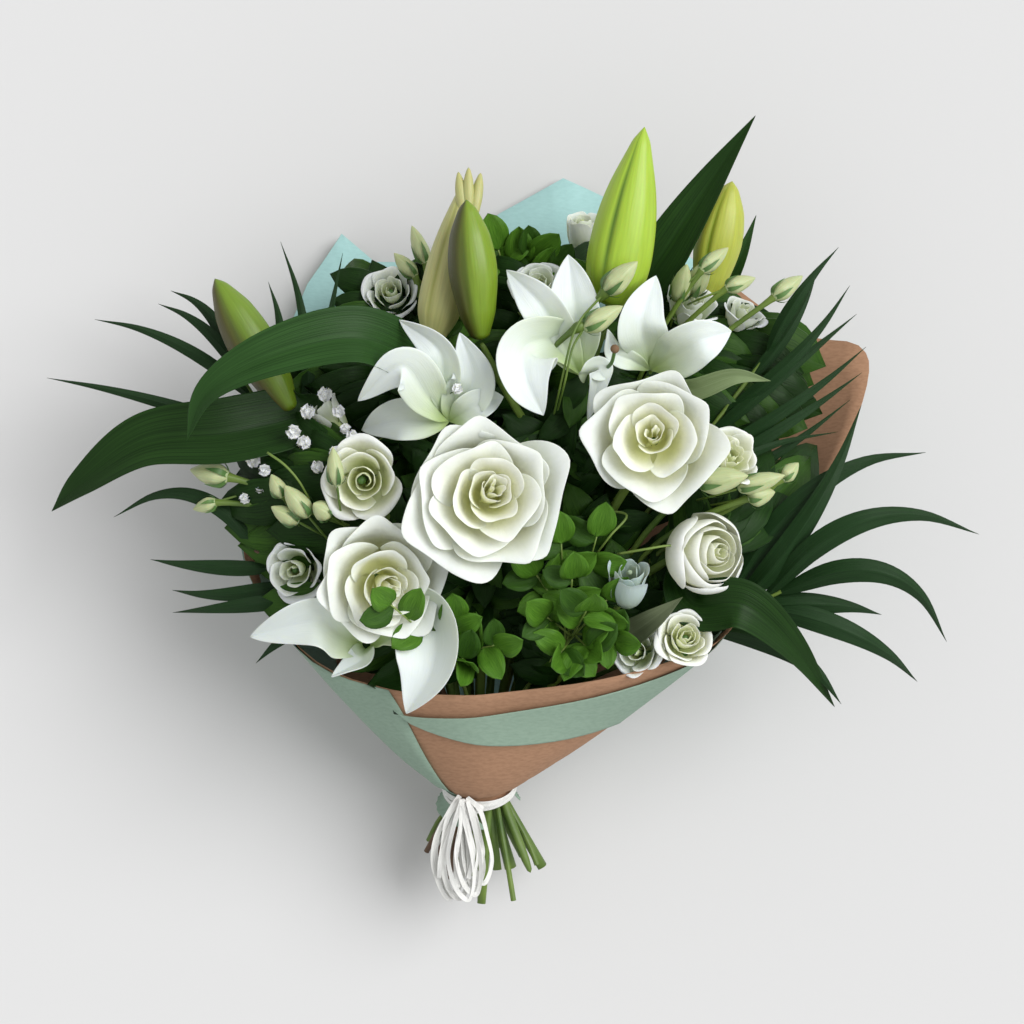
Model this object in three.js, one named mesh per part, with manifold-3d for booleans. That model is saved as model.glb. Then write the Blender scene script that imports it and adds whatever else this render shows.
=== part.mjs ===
// A mixed bouquet of roses, lilies and lisianthus, with palm fronds and small greenery, wrapped
// in kraft and sage paper and tied with raffia. It lies on its back: the flowers face +Z, the cut
// stems point along -Y, and the origin is on the flat patch of paper that it rests on.
// Lengths are in millimetres.
import * as THREE from 'three';
import { mergeVertices } from 'three/addons/utils/BufferGeometryUtils.js';
import Module from 'manifold-3d';

const wasm = await Module();
wasm.setup();
const { Manifold } = wasm;

const V = (x, y, z) => new THREE.Vector3(x, y, z);
const vectors = (list) => list.map((p) => V(...p));

// ---- Driving dimensions -------------------------------------------------------------------

// The tie, where the stems cross, and the line that the bouquet follows above it.
const TIE = V(-20, -167, 50);
const AXIS = V(0, 0.848, 0.530).normalize();
const SIDE = V(1, 0, 0);
const FRONT = SIDE.clone().cross(AXIS).normalize();

// Stems: packed at the tie as one in the middle, a ring of 7 and a ring of 13, all touching. Below
// it they are cut to these lengths, spread out, round and sideways, and lifted towards the front.
const RINGS = [
  { count: 1, radius: 0, stemRadius: 3.6, spreadOut: 0, spreadRound: 0, spreadSide: 0 },
  { count: 7, radius: 7.3, stemRadius: 3.1, spreadOut: 4, spreadRound: 6, spreadSide: 8 },
  { count: 13, radius: 13.85, stemRadius: 3.1, spreadOut: 9, spreadRound: 15, spreadSide: 16 },
];
const CUT_END_LENGTHS = [58, 50, 62, 47, 55, 60, 44];
const FULL_SPREAD_AT = 60;
const CUT_END_LIFT = 0.26;

// Paper: the sheets lie one on the other outside a common cone, PAPER_STEP apart. Their neck is
// round the tie, between these heights along the bouquet's line.
const PAPER_THICK = 1.0;
const PAPER_STEP = 1.45;
const PAPER_NECK_RADIUS = 19.1;
const NECK_LOW = 0;
const NECK_TOP = 8;
const PAPER_TAIL = 11;

// Clearance that every piece keeps from the pieces placed before it.
const GAP = 0.36;

// ---- Closed solids from three.js geometry -------------------------------------------------

function solidOf(geometry) {
  const bare = geometry.index ? geometry.clone() : geometry;
  bare.deleteAttribute('normal');
  bare.deleteAttribute('uv');
  const welded = mergeVertices(bare, 1e-4);
  const index = welded.index.array;
  const kept = [];
  for (let i = 0; i < index.length; i += 3) {
    const [a, b, c] = [index[i], index[i + 1], index[i + 2]];
    if (a !== b && b !== c && c !== a) kept.push(a, b, c);
  }
  return new Manifold(new wasm.Mesh({
    numProp: 3,
    vertProperties: new Float32Array(welded.attributes.position.array),
    triVerts: new Uint32Array(kept),
  }));
}

function indexed(points, triangles) {
  const geometry = new THREE.BufferGeometry();
  const flat = points.flatMap((p) => [p.x, p.y, p.z]);
  geometry.setAttribute('position', new THREE.Float32BufferAttribute(flat, 3));
  geometry.setIndex(triangles);
  return geometry;
}

const wrapped = (angle) => Math.atan2(Math.sin(angle), Math.cos(angle));

const mix = ([low, high], part) => low + part * (high - low);

function shareAt(stations, u) {
  const position = u * (stations.length - 1);
  const low = Math.min(stations.length - 2, Math.floor(position));
  return mix([stations[low], stations[low + 1]], position - low);
}

// A thin closed blade over surface(u, v), u from root to tip and v from -1 to 1 across. It is thick
// along its middle and sharp at its two long edges. grow pads it, for clearances.
function blade(surface, { rows, thick, grow = 0 }) {
  const sheet = new THREE.PlaneGeometry(2, 1, 2, rows);
  const place = sheet.attributes.position;
  const step = 0.01;
  const top = [];
  const bottom = [];
  for (let i = 0; i < place.count; i += 1) {
    const v = place.getX(i);
    const u = place.getY(i) + 0.5;
    const p = surface(u, v);
    const nearU = Math.min(0.98, Math.max(0.02, u));
    const along = surface(nearU + step, v).sub(surface(nearU - step, v)).normalize();
    const across = surface(nearU, Math.min(1, v + step)).sub(surface(nearU, Math.max(-1, v - step)));
    across.normalize();
    const normal = across.clone().cross(along).normalize();
    const half = 0.5 * thick * (1 - v * v);
    if (grow > 0) {
      if (Math.abs(v) > 0.999) p.addScaledVector(across, grow * Math.sign(v));
      if (u < 0.001) p.addScaledVector(along, -grow);
      if (u > 0.999) p.addScaledVector(along, grow);
    }
    top.push(p.clone().addScaledVector(normal, half + grow));
    bottom.push(p.clone().addScaledVector(normal, -half - grow));
  }
  return solidOf(closeSheet(sheet.index.array, top, bottom));
}

// Joins a top and a bottom face of the same triangles with a wall round their border.
function closeSheet(index, top, bottom) {
  const count = top.length;
  const triangles = [];
  const borders = new Map();
  for (let i = 0; i < index.length; i += 3) {
    const corner = [index[i], index[i + 1], index[i + 2]];
    triangles.push(...corner, corner[0] + count, corner[2] + count, corner[1] + count);
    for (let k = 0; k < 3; k += 1) {
      const [a, b] = [corner[k], corner[(k + 1) % 3]];
      if (borders.has(`${b}_${a}`)) borders.delete(`${b}_${a}`);
      else borders.set(`${a}_${b}`, [a, b]);
    }
  }
  for (const [a, b] of borders.values()) {
    triangles.push(b, a, a + count, b, a + count, b + count);
  }
  return indexed([...top, ...bottom], triangles);
}

// A stem along a curve, with SIDES sides. Its radii are spread evenly from foot to top. One of its
// corners starts out towards edge, and is held towards it for the first rings.
function stem(points, radii, { edge = V(0.31, 0.17, 0.94), held = 1, steps = 6, grow = 0 }) {
  const curve = new THREE.CatmullRomCurve3(points, false, 'centripetal');
  const rings = [];
  const triangles = [];
  let across = edge;
  for (let i = 0; i <= steps; i += 1) {
    const t = i / steps;
    const along = curve.getTangent(t);
    if (i < held) across = edge;
    across = across.clone().addScaledVector(along, -across.dot(along)).normalize();
    const other = along.clone().cross(across);
    const radius = shareAt(radii, t) + grow;
    const middle = curve.getPoint(t);
    if (i === 0) middle.addScaledVector(along, -grow);
    if (i === steps) middle.addScaledVector(along, grow);
    for (let k = 0; k < SIDES; k += 1) {
      const angle = (2 * Math.PI * k) / SIDES;
      rings.push(middle.clone()
        .addScaledVector(across, radius * Math.cos(angle))
        .addScaledVector(other, radius * Math.sin(angle)));
    }
  }
  for (let i = 0; i < steps; i += 1) {
    for (let k = 0; k < SIDES; k += 1) {
      const next = (k + 1) % SIDES;
      const [a, b] = [i * SIDES + k, i * SIDES + next];
      triangles.push(a, b, b + SIDES, a, b + SIDES, a + SIDES);
    }
  }
  for (let k = 1; k < SIDES - 1; k += 1) {
    triangles.push(0, k + 1, k);
    const last = steps * SIDES;
    triangles.push(last, last + k, last + k + 1);
  }
  return solidOf(indexed(rings, triangles));
}

const SIDES = 4;

// A turned solid with few sides: profile is [radius, height] pairs from foot to top.
function turned(profile, foot, towards, { sides = 6, grow = 0 } = {}) {
  const outline = profile.map(([r, h]) => new THREE.Vector2(r <= 0 ? 0 : r + grow, h));
  outline[0].y -= grow;
  outline[outline.length - 1].y += grow;
  const geometry = new THREE.LatheGeometry(outline, sides);
  geometry.applyQuaternion(new THREE.Quaternion().setFromUnitVectors(V(0, 1, 0), towards));
  geometry.translate(foot.x, foot.y, foot.z);
  return solidOf(geometry);
}

// ---- Faces too thin to keep ---------------------------------------------------------------

const HAIR = 0.012;

// Cutting one piece by another leaves faces thinner than a hair. Each is taken away, by closing
// its shortest edge or by turning its longest one.
function withoutHairs({ vertProperties, triVerts, numProp }) {
  const points = [];
  for (let i = 0; i < vertProperties.length; i += numProp) {
    points.push(V(vertProperties[i], vertProperties[i + 1], vertProperties[i + 2]));
  }
  let faces = [];
  for (let i = 0; i < triVerts.length; i += 3) faces.push([triVerts[i], triVerts[i + 1], triVerts[i + 2]]);
  const hopeless = new Set();
  for (;;) {
    const hair = faces.find((face) => !hopeless.has(face) && height(points, face) < HAIR);
    if (!hair) return { points, faces };
    const better = closeShortest(points, faces, hair) || turnLongest(points, faces, hair);
    if (better) faces = better;
    else hopeless.add(hair);
  }
}

const span = (points, a, b) => points[a].distanceTo(points[b]);

function height(points, [a, b, c]) {
  const doubled = points[b].clone().sub(points[a]).cross(points[c].clone().sub(points[a])).length();
  return doubled / Math.max(span(points, a, b), span(points, b, c), span(points, c, a), 1e-9);
}

function edgesByLength(points, face) {
  return [0, 1, 2].map((k) => [face[k], face[(k + 1) % 3], face[(k + 2) % 3]])
    .sort((p, q) => span(points, p[0], p[1]) - span(points, q[0], q[1]));
}

function closeShortest(points, faces, hair) {
  const [[a, b]] = edgesByLength(points, hair);
  if (span(points, a, b) > 3 * HAIR) return null;
  const round = (i) => new Set(faces.filter((face) => face.includes(i)).flat());
  const near = round(b);
  if ([...round(a)].filter((i) => near.has(i)).length !== 4) return null;
  return faces.filter((face) => !(face.includes(a) && face.includes(b)))
    .map((face) => (face.includes(b) ? face.map((i) => (i === b ? a : i)) : face));
}

function turnLongest(points, faces, hair) {
  const [a, b, tip] = edgesByLength(points, hair)[2];
  const other = faces.find((face) => [0, 1, 2].some((k) => face[k] === b && face[(k + 1) % 3] === a));
  const far = other.find((i) => i !== a && i !== b);
  if (far === tip || faces.some((face) => face.includes(far) && face.includes(tip))) return null;
  const turned = [[a, far, tip], [far, b, tip]];
  const lowest = Math.min(...turned.map((face) => height(points, face)));
  if (lowest <= height(points, hair)) return null;
  return [...faces.filter((face) => face !== hair && face !== other), ...turned];
}

// ---- Shapes of the flowers and leaves -----------------------------------------------------

// A leaf or a lily petal: a tongue along a centre line, widest part way, pointed at its tip.
function tongue(path, width, face, { root, widest = 0.8, cup }) {
  const curve = new THREE.CatmullRomCurve3(vectors(path), false, 'centripetal');
  return (u, v) => {
    const along = curve.getTangent(Math.min(0.999, u));
    const side = along.clone().cross(face).normalize();
    const up = side.clone().cross(along);
    const half = 0.5 * width * (Math.sin(Math.PI * u ** widest) ** 0.85 + root * Math.min(u * 8, 1 - u));
    return curve.getPoint(Math.min(1, u))
      .addScaledVector(side, half * v)
      .addScaledVector(up, cup * half * v * v);
  };
}

function bezier(a, b, c, d, t) {
  const s = 1 - t;
  return a * s * s * s + 3 * b * s * s * t + 3 * c * s * t * t + d * t * t * t;
}

// Layers of petals round a flower's middle, innermost first. Each layer is a cup whose wall follows
// a curve of [radius, height] controls: bend1, bend2 and tip, as shares of the flower's width,
// rising from foot on the flower's line, with the face of the flower at height 0.
const ROSE = {
  core: [[0, -0.56], [0.07, -0.55], [0.1, -0.42], [0.17, -0.15], [0.12, 0.02], [0, 0.04]],
  layers: [
    { petals: 4, foot: -0.42, bend1: [0.28, -0.4], bend2: [0.24, -0.02], tip: [0.2, 0.04] },
    { petals: 5, foot: -0.47, bend1: [0.36, -0.46], bend2: [0.33, 0.0], tip: [0.39, -0.05] },
    { petals: 5, foot: -0.52, bend1: [0.44, -0.52], bend2: [0.46, -0.04], tip: [0.54, -0.15] },
  ],
};
const OPEN = {
  core: [[0, -0.5], [0.07, -0.49], [0.07, -0.3], [0.11, -0.14], [0, -0.1]],
  layers: [
    { petals: 3, foot: -0.34, bend1: [0.22, -0.32], bend2: [0.18, -0.02], tip: [0.27, 0.02] },
    { petals: 5, foot: -0.42, bend1: [0.36, -0.42], bend2: [0.38, 0.0], tip: [0.52, -0.03] },
  ],
};
const CUP = {
  core: [[0, -0.92], [0.09, -0.9], [0.1, -0.66], [0.14, -0.3], [0, -0.2]],
  layers: [
    { petals: 5, foot: -0.8, bend1: [0.46, -0.8], bend2: [0.34, -0.1], tip: [0.52, 0.02] },
  ],
};
const CLOSED = {
  core: [[0, -0.66], [0.08, -0.65], [0.1, -0.4], [0.16, -0.1], [0.1, 0.05], [0, 0.02]],
  layers: [
    { petals: 3, foot: -0.5, bend1: [0.3, -0.5], bend2: [0.3, 0.0], tip: [0.26, 0.05] },
    { petals: 5, foot: -0.58, bend1: [0.5, -0.58], bend2: [0.54, -0.1], tip: [0.43, -0.02] },
  ],
};
const PETAL_THICK = 1.5;
const FINE_WIDTH = 60;
// Scallops of a layer: how much farther out one side of a petal is than the other, how far its
// corners draw in, as shares of the radius, and how far they drop, as a share of the width.
const OVERLAP = 0.08;
const DRAWN_IN = 0.1;
const CORNER_DROP = 0.045;

// The outline that a flower is turned from, as [radius, height, share] rows: up the outside of its
// outermost layer, down inside it, the same for each layer within, and over the middle. share is how
// far up its layer's wall a row is.
function flowerOutline(kind, width) {
  const rows = kind.core.slice(0, 2).map(([r, h]) => [r * width, h * width, 0]);
  const half = PETAL_THICK / 2;
  const layers = kind.layers.slice().reverse();
  layers.forEach(({ foot, bend1, bend2, tip }, number) => {
    const wall = (t, out) => [
      width * bezier(0, bend1[0], bend2[0], tip[0], t) + out * half,
      width * bezier(foot, bend1[1], bend2[1], tip[1], t) - out * half, t, number,
    ];
    if (number === 0) rows.push(wall(WALL_LOW, 1));
    rows.push(wall(WALL_HIGH, 1), wall(1, 0), wall(WALL_HIGH, -1));
    if (number < layers.length - 1) rows.push([...wall(WALL_FOOT, -1).slice(0, 2), 0]);
  });
  return [...rows, ...kind.core.slice(2).map(([r, h]) => [r * width, h * width, 0])];
}
const WALL_FOOT = 0.12;
const WALL_LOW = 0.25;
const WALL_HIGH = 0.6;

// A flower turned from its outline, each layer scalloped into petals that tuck under the next ones.
// With grow, it is the plain turned room that the flower fills.
function flower(kind, centre, width, face, grow, turn = 0) {
  const facing = face.clone().normalize();
  const pose = (geometry) => {
    geometry.applyQuaternion(new THREE.Quaternion().setFromUnitVectors(V(0, 1, 0), facing));
    return solidOf(geometry.translate(centre.x, centre.y, centre.z));
  };
  if (grow > 0) return pose(flowerRoom(kind, width, grow));
  const rows = flowerOutline(kind, width);
  const columns = 5 * (width > FINE_WIDTH ? 3 : 2);
  const geometry = new THREE.LatheGeometry(rows.map(([r, h]) => new THREE.Vector2(r, h)), columns);
  const place = geometry.attributes.position;
  for (let i = 0; i < place.count; i += 1) {
    const column = Math.floor(i / rows.length) % columns;
    const [, , share, number = 0] = rows[i % rows.length];
    const { petals } = kind.layers[kind.layers.length - 1 - number];
    const across = 2 * (((column * petals) / columns + 0.5 * (number + 1)) % 1) - 1;
    const scale = 1 + share * (OVERLAP * across - DRAWN_IN * across * across);
    const drop = share * share * width * CORNER_DROP * across * across;
    place.setXYZ(i, place.getX(i) * scale, place.getY(i) - drop, place.getZ(i) * scale);
  }
  geometry.rotateY(turn);
  return pose(geometry);
}

function flowerRoom(kind, width, grow) {
  const { foot, bend1, bend2, tip } = kind.layers[kind.layers.length - 1];
  const wall = [0.2, 0.4, 0.6, 0.8, 1].map((t) => [
    width * bezier(0, bend1[0], bend2[0], tip[0], t) * ROOM_SCALE + ROOM,
    width * (bezier(foot, bend1[1], bend2[1], tip[1], t) - CORNER_DROP * t * t) - ROOM,
  ]);
  const stub = kind.core.slice(0, 2).map(([r, h]) => [r > 0 ? r * width + grow : 0, h * width - grow]);
  const brim = [wall[4][0], width * tip[1] + ROOM];
  const lid = [brim, [width * LID_RADIUS, width * LID_HEIGHT + 1], [0, width * LID_HEIGHT + 1]];
  const outline = [...stub, ...wall, ...lid].map((p) => new THREE.Vector2(...p));
  return new THREE.LatheGeometry(outline, 12);
}
// Room kept round a flower, and the lid over it, as shares of its width.
const ROOM = 1.2;
const ROOM_SCALE = 1.06;
const LID_RADIUS = 0.4;
const LID_HEIGHT = 0.06;

// ---- Layout -------------------------------------------------------------------------------

// Each flower is [name, kind, centre of its face, width, direction it faces, stem it grows on].
const ROSES = [
  ['rose_centre', ROSE, [-15, 7, 200], 93, [0, -0.05, 1]],
  ['rose_right', ROSE, [78, 40, 194], 82, [-0.1, 0, 1]],
  ['rose_left', ROSE, [-74, -40, 179], 76, [0.1, -0.1, 1]],
];
const LISIANTHUS = [
  ['lisianthus_left', OPEN, [-86, 18, 168], 54, [-0.1, -0.05, 1], 'stem_lisianthus_left'],
  ['lisianthus_bell', CUP, [-112, 62, 122], 24, [-0.5, 0.6, 0.2], 'stem_lisianthus_left'],
  ['lisianthus_low_left', OPEN, [-127, -34, 130], 42, [-0.3, -0.1, 0.9], 'stem_lisianthus_left'],
  ['lisianthus_right', CLOSED, [115, -23, 166], 50, [0.5, 0, 0.85], 'stem_lisianthus_right'],
  ['lisianthus_ruffled', OPEN, [127, 31, 166], 34, [0.6, 0.35, 0.6], 'stem_lisianthus_right'],
  ['lisianthus_rim', OPEN, [100, -71, 155], 38, [0.2, 0.3, 0.9], 'stem_lisianthus_rim'],
  ['lisianthus_rim_low', OPEN, [70, -80, 150], 34, [-0.3, 0.1, 0.9], 'stem_lisianthus_rim'],
  ['lisianthus_cup', CUP, [65, -38, 164], 24, [0, 0.4, 0.7], 'stem_lisianthus_rim'],
  ['lisianthus_top', OPEN, [16, 134, 118], 38, [0, 0.5, 0.85], 'stem_lisianthus_top'],
  ['lisianthus_back', CUP, [42, 176, 62], 26, [0, 0.9, 0.4], 'stem_lisianthus_top'],
  ['lisianthus_top_left', OPEN, [-72, 131, 92], 38, [-0.1, 0.8, 0.5], 'stem_lisianthus_top_left'],
  ['lisianthus_back_right', OPEN, [106, 124, 115], 40, [0.3, 0.7, 0.6], 'stem_lisianthus_far_right'],
  ['lisianthus_far_right', OPEN, [137, 119, 103], 32, [0.4, 0.7, 0.5], 'stem_lisianthus_far_right'],
];

const LILY_FACE = V(0, 0.3, 1).normalize();
const LILY_CORE = [[0, -7], [3, -7], [5, 0], [4, 6], [0, 7]];

// A lily: its throat, and its petals as [middle, tip, width, way the petal's inside faces].
const LILIES = [
  ['lily_left', [-36, 52, 140], [
    [[-42, 92, 172], [-65, 109, 165], 20, [0, -0.5, 1]],
    [[-22, 77, 162], [-30, 102, 164], 26, [0, -0.4, 1]],
    [[-63, 82, 180], [-88, 62, 160], 26, [0.4, -0.3, 1]],
    [[-67, 53, 142], [-88, 47, 128], 24, [0, 0, 1]],
    [[-18, 62, 160], [-4, 66, 152], 18, [0.2, 0, 1]],
  ]],
  ['lily_middle', [40, 78, 138], [
    [[16, 118, 168], [-4, 138, 160], 24, [0, -0.4, 1]],
    [[35, 122, 158], [32, 148, 150], 28, [0, -0.4, 1]],
    [[8, 86, 182], [18, 54, 170], 34, [-0.3, 0.2, 1]],
    [[50, 80, 160], [44, 52, 142], 16, [0.4, 0, 1]],
  ]],
  ['lily_right', [80, 82, 128], [
    [[74, 110, 160], [83, 136, 150], 28, [0, -0.4, 1]],
    [[106, 97, 166], [126, 103, 158], 28, [-0.2, -0.3, 1]],
    [[58, 92, 150], [55, 103, 164], 12, [0.4, -0.5, 1]],
  ]],
  ['lily_low', [-84, -78, 128], [
    [[-114, -62, 160], [-151, -72, 146], 28, [0.2, 0, 1]],
    [[-52, -84, 160], [-60, -114, 157], 32, [0, 0.3, 1]],
    [[-86, -92, 150], [-84, -93, 164], 22, [0, 0.6, 1]],
  ]],
];

// A lily bud's profile from foot to tip, [share of its half width, share of its length]: plump, or
// widest low down and drawn out to its tip.
const PLUMP = [[0, 0], [0.42, 0], [0.75, 0.2], [1, 0.5], [0.82, 0.75], [0.35, 0.94], [0, 1]];
const DRAWN = [[0, 0], [0.5, 0], [0.92, 0.16], [1, 0.35], [0.8, 0.62], [0.32, 0.92], [0, 1]];

// Closed lily buds: foot, tip, width and profile.
const LILY_BUDS = [
  ['lily_bud_tall', [57, 118, 132], [76, 221, 148], 37, DRAWN],
  ['lily_bud_middle', [-18, 98, 150], [-26, 178, 162], 28, PLUMP],
  ['lily_bud_pale', [-46, 98, 128], [-25, 195, 134], 26, DRAWN],
  ['lily_bud_right', [114, 124, 90], [129, 194, 104], 28, PLUMP],
  ['lily_bud_left', [-128, 58, 116], [-173, 136, 118], 28, PLUMP],
];

// Stems: where each ends, how it leaves there, its top radius, and its side branches.
// A branch is [start along the stem, end, leave, radius].
const STEMS = [];
const stemTo = (name, end, leave, topRadius, branches = []) => {
  STEMS.push({ name, end: V(...end), leave: V(...leave).normalize(), topRadius, branches });
};
const backOf = (list, name) => {
  const [, kind, centre, width, face] = list.find((row) => row[0] === name);
  const facing = V(...face).normalize();
  return V(...centre).addScaledVector(facing, width * kind.core[0][1] - 2 * GAP).toArray();
};
const footOfBud = (name) => {
  const [, foot, tip] = LILY_BUDS.find((row) => row[0] === name);
  return V(...foot).addScaledVector(V(...tip).sub(V(...foot)).normalize(), -2 * GAP).toArray();
};
const throatOf = (name) => {
  const throat = V(...LILIES.find((row) => row[0] === name)[1]);
  return throat.addScaledVector(LILY_FACE, LILY_CORE[0][1] - 2 * GAP).toArray();
};
const faceOf = (name) => LISIANTHUS.find((row) => row[0] === name)[4];
const branchTo = (start, name) => ({
  start, end: V(...backOf(LISIANTHUS, name)), leave: V(...faceOf(name)).normalize(), radius: 1.5,
});
const budBranch = (start, end, tip, radius = 1.0, size = 8) => ({
  start, end: V(...end), leave: V(...tip).sub(V(...end)).normalize(), radius, bud: V(...tip), size,
});
const budStalk = (start, name) => {
  const [, foot, tip] = LILY_BUDS.find((row) => row[0] === name);
  return {
    start, end: V(...footOfBud(name)), leave: V(...tip).sub(V(...foot)).normalize(), radius: 2.2,
  };
};
stemTo('stem_rose_centre', backOf(ROSES, 'rose_centre'), [0, 0, 1], 2.8);
stemTo('stem_rose_right', backOf(ROSES, 'rose_right'), [-0.1, 0, 1], 2.8);
stemTo('stem_rose_left', backOf(ROSES, 'rose_left'), [0.1, -0.1, 1], 2.8);
stemTo('stem_lily_left', throatOf('lily_left'), [0, 0.3, 1], 2.6, [
  budStalk(0.7, 'lily_bud_pale'),
]);
stemTo('stem_lily_middle', throatOf('lily_middle'), [0, 0.3, 1], 2.6, [
  budStalk(0.72, 'lily_bud_middle'),
  budStalk(0.66, 'lily_bud_tall'),
]);
stemTo('stem_lily_right', throatOf('lily_right'), [0, 0.3, 1], 2.6, [
  budStalk(0.6, 'lily_bud_right'),
]);
stemTo('stem_lily_low', throatOf('lily_low'), [0, 0.2, 1], 2.6);
stemTo('stem_lisianthus_left', backOf(LISIANTHUS, 'lisianthus_left'), [-0.1, 0, 1], 1.8, [
  branchTo(0.6, 'lisianthus_bell'),
  branchTo(0.5, 'lisianthus_low_left'),
  budBranch(0.62, [-163, 20, 128], [-184, 24, 124], 1.2, 13),
  budBranch(0.66, [-131, 8, 148], [-137, 20, 150]),
  budBranch(0.6, [-171, 6, 120], [-184, 2, 116]),
]);
stemTo('stem_lisianthus_right', backOf(LISIANTHUS, 'lisianthus_right'), [0.5, 0, 0.9], 1.8, [
  branchTo(0.66, 'lisianthus_ruffled'),
  budBranch(0.7, [134, 8, 157], [148, 11, 159], 1.3, 12),
  budBranch(0.75, [154, 18, 150], [163, 27, 148]),
]);
stemTo('stem_lisianthus_rim', backOf(LISIANTHUS, 'lisianthus_cup'), [0, 0.4, 0.7], 1.5, [
  branchTo(0.55, 'lisianthus_rim'),
  branchTo(0.5, 'lisianthus_rim_low'),
]);
stemTo('stem_lisianthus_top', backOf(LISIANTHUS, 'lisianthus_top'), [0, 0.5, 0.85], 1.8, [
  branchTo(0.7, 'lisianthus_back'),
  budBranch(0.75, [50, 122, 162], [69, 140, 167], 1.2, 13),
  budBranch(0.72, [34, 103, 172], [58, 114, 172], 1.1, 11),
]);
stemTo('stem_lisianthus_top_left', backOf(LISIANTHUS, 'lisianthus_top_left'), [0, 0.8, 0.5],
  1.8, [
    budBranch(0.75, [-50, 145, 95], [-58, 166, 92]),
    budBranch(0.7, [-56, 138, 92], [-68, 151, 90]),
    budStalk(0.6, 'lily_bud_left'),
  ]);
stemTo('stem_lisianthus_far_right', backOf(LISIANTHUS, 'lisianthus_back_right'), [0.3, 0.7, 0.6],
  1.8, [
    branchTo(0.72, 'lisianthus_far_right'),
    budBranch(0.74, [108, 138, 138], [123, 151, 132]),
    budBranch(0.76, [122, 128, 141], [138, 134, 139]),
    budBranch(0.7, [150, 123, 134], [166, 135, 130]),
  ]);
stemTo('frond_left_low', [-150, -22, 112], [-0.6, 0.6, 0.3], 1.4);
stemTo('frond_left_up', [-168, 92, 96], [-0.4, 0.8, 0], 1.4);
stemTo('frond_right_up', [152, 96, 112], [0.4, 0.8, 0], 1.4);
stemTo('frond_right_low', [156, -46, 126], [0.7, 0, 0.5], 1.4);
stemTo('greenery_front', [38, -68, 138], [0.1, 0.1, 1], 1.3);
stemTo('greenery_left', [-36, -76, 142], [-0.1, 0, 1], 1.3);
stemTo('greenery_back', [0, 152, 88], [0, 0.8, 0.5], 1.3);
stemTo('gypsophila', [-120, 40, 128], [-0.4, 0.3, 0.8], 1.0, [
  budBranch(0.8, [-124, 44, 132], [-126, 46, 135], 0.9, 6),
  budBranch(0.8, [-98, 46, 132], [-96, 48, 135], 0.9, 6),
  budBranch(0.75, [-139, 26, 128], [-143, 24, 130], 0.9, 6),
  budBranch(0.75, [-151, 10, 120], [-155, 8, 119], 0.9, 6),
  budBranch(0.8, [-107, 66, 130], [-108, 68, 132], 0.9, 6),
]);

// ---- Stem routes --------------------------------------------------------------------------

const STATIONS = 26;
const ROUTE_GAP = 1.2;
const PASSES = 90;
const SMOOTHING = 0.3;
const BALL_PUSH = 0.2;
const FREE_END = 4;
// Height above the tie where the routes begin, and how far a route keeps the way that it leaves
// there, and the way that it arrives at its flower, as shares of its span.
const ROUTE_FOOT = 10;
const LEAVING = 0.4;
const ARRIVING = 0.3;
// Stations of a route that a stem, and a branch, are drawn through, and the half height of the
// stretch at the tie where the stems run side by side.
const STEM_PICKS = [0, 5, 10, 15, 20, 25];
const BRANCH_PICKS = [0, 8, 16, 25];
const TIE_HALF = 4;
// A side bud's length and half width, as shares of its size, and how far up it is widest.
const SIDE_BUD_LONG = 0.9;
const SIDE_BUD_HALF = 0.42;
const SIDE_BUD_WIDEST = 0.45;

function polar(point) {
  const offset = point.clone().sub(TIE);
  const height = offset.dot(AXIS);
  const [x, y] = [offset.dot(SIDE), offset.dot(FRONT)];
  return { height, radius: Math.hypot(x, y), angle: Math.atan2(y, x) };
}

function fromPolar(angle, radius, height) {
  return TIE.clone()
    .addScaledVector(SIDE, radius * Math.cos(angle))
    .addScaledVector(FRONT, radius * Math.sin(angle))
    .addScaledVector(AXIS, height);
}

// Gives each stem a place in the packed rings: the straightest in the middle, the widest outside,
// and each ring in the order of the flowers round the axis.
function takePlaces() {
  const waiting = STEMS.map((item) => ({ item, way: polar(item.end) }))
    .sort((a, b) => a.way.radius / a.way.height - b.way.radius / b.way.height);
  for (const ring of RINGS) {
    const chosen = waiting.splice(0, ring.count).sort((a, b) => a.way.angle - b.way.angle);
    const pitch = (2 * Math.PI) / ring.count;
    let best = { cost: Infinity };
    for (let start = -Math.PI; start < Math.PI; start += 0.05) {
      const cost = chosen.reduce((sum, { way }, i) => {
        const off = wrapped(way.angle - start - i * pitch);
        return sum + off * off;
      }, 0);
      if (cost < best.cost) best = { cost, start };
    }
    chosen.forEach(({ item }, i) => {
      item.ring = ring;
      item.radii = [ring.stemRadius, item.topRadius];
      item.angle = best.start + i * pitch;
    });
  }
}

function routeOf(from, direction, end, leave) {
  const span = from.distanceTo(end);
  const curve = new THREE.CubicBezierCurve3(
    from, from.clone().addScaledVector(direction, span * LEAVING),
    end.clone().addScaledVector(leave, -span * ARRIVING), end,
  );
  return curve.getSpacedPoints(STATIONS - 1);
}

function layStems() {
  takePlaces();
  const strands = [];
  STEMS.forEach((item) => {
    const neck = fromPolar(item.angle, item.ring.radius, ROUTE_FOOT);
    item.route = routeOf(neck, AXIS, item.end, item.leave);
    strands.push({ owner: item.name, points: item.route, radii: item.radii });
    item.branches.forEach((branch) => {
      const start = item.route[Math.round(branch.start * (STATIONS - 1))];
      const heading = branch.end.clone().sub(start).normalize().add(AXIS).normalize();
      branch.route = routeOf(start, heading, branch.end, branch.leave);
      branch.joint = Math.round(branch.start * (STATIONS - 1));
      branch.stem = item;
      strands.push({ owner: item.name, points: branch.route, radii: [branch.radius, branch.radius] });
    });
  });
  spread(strands);
}

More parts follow.
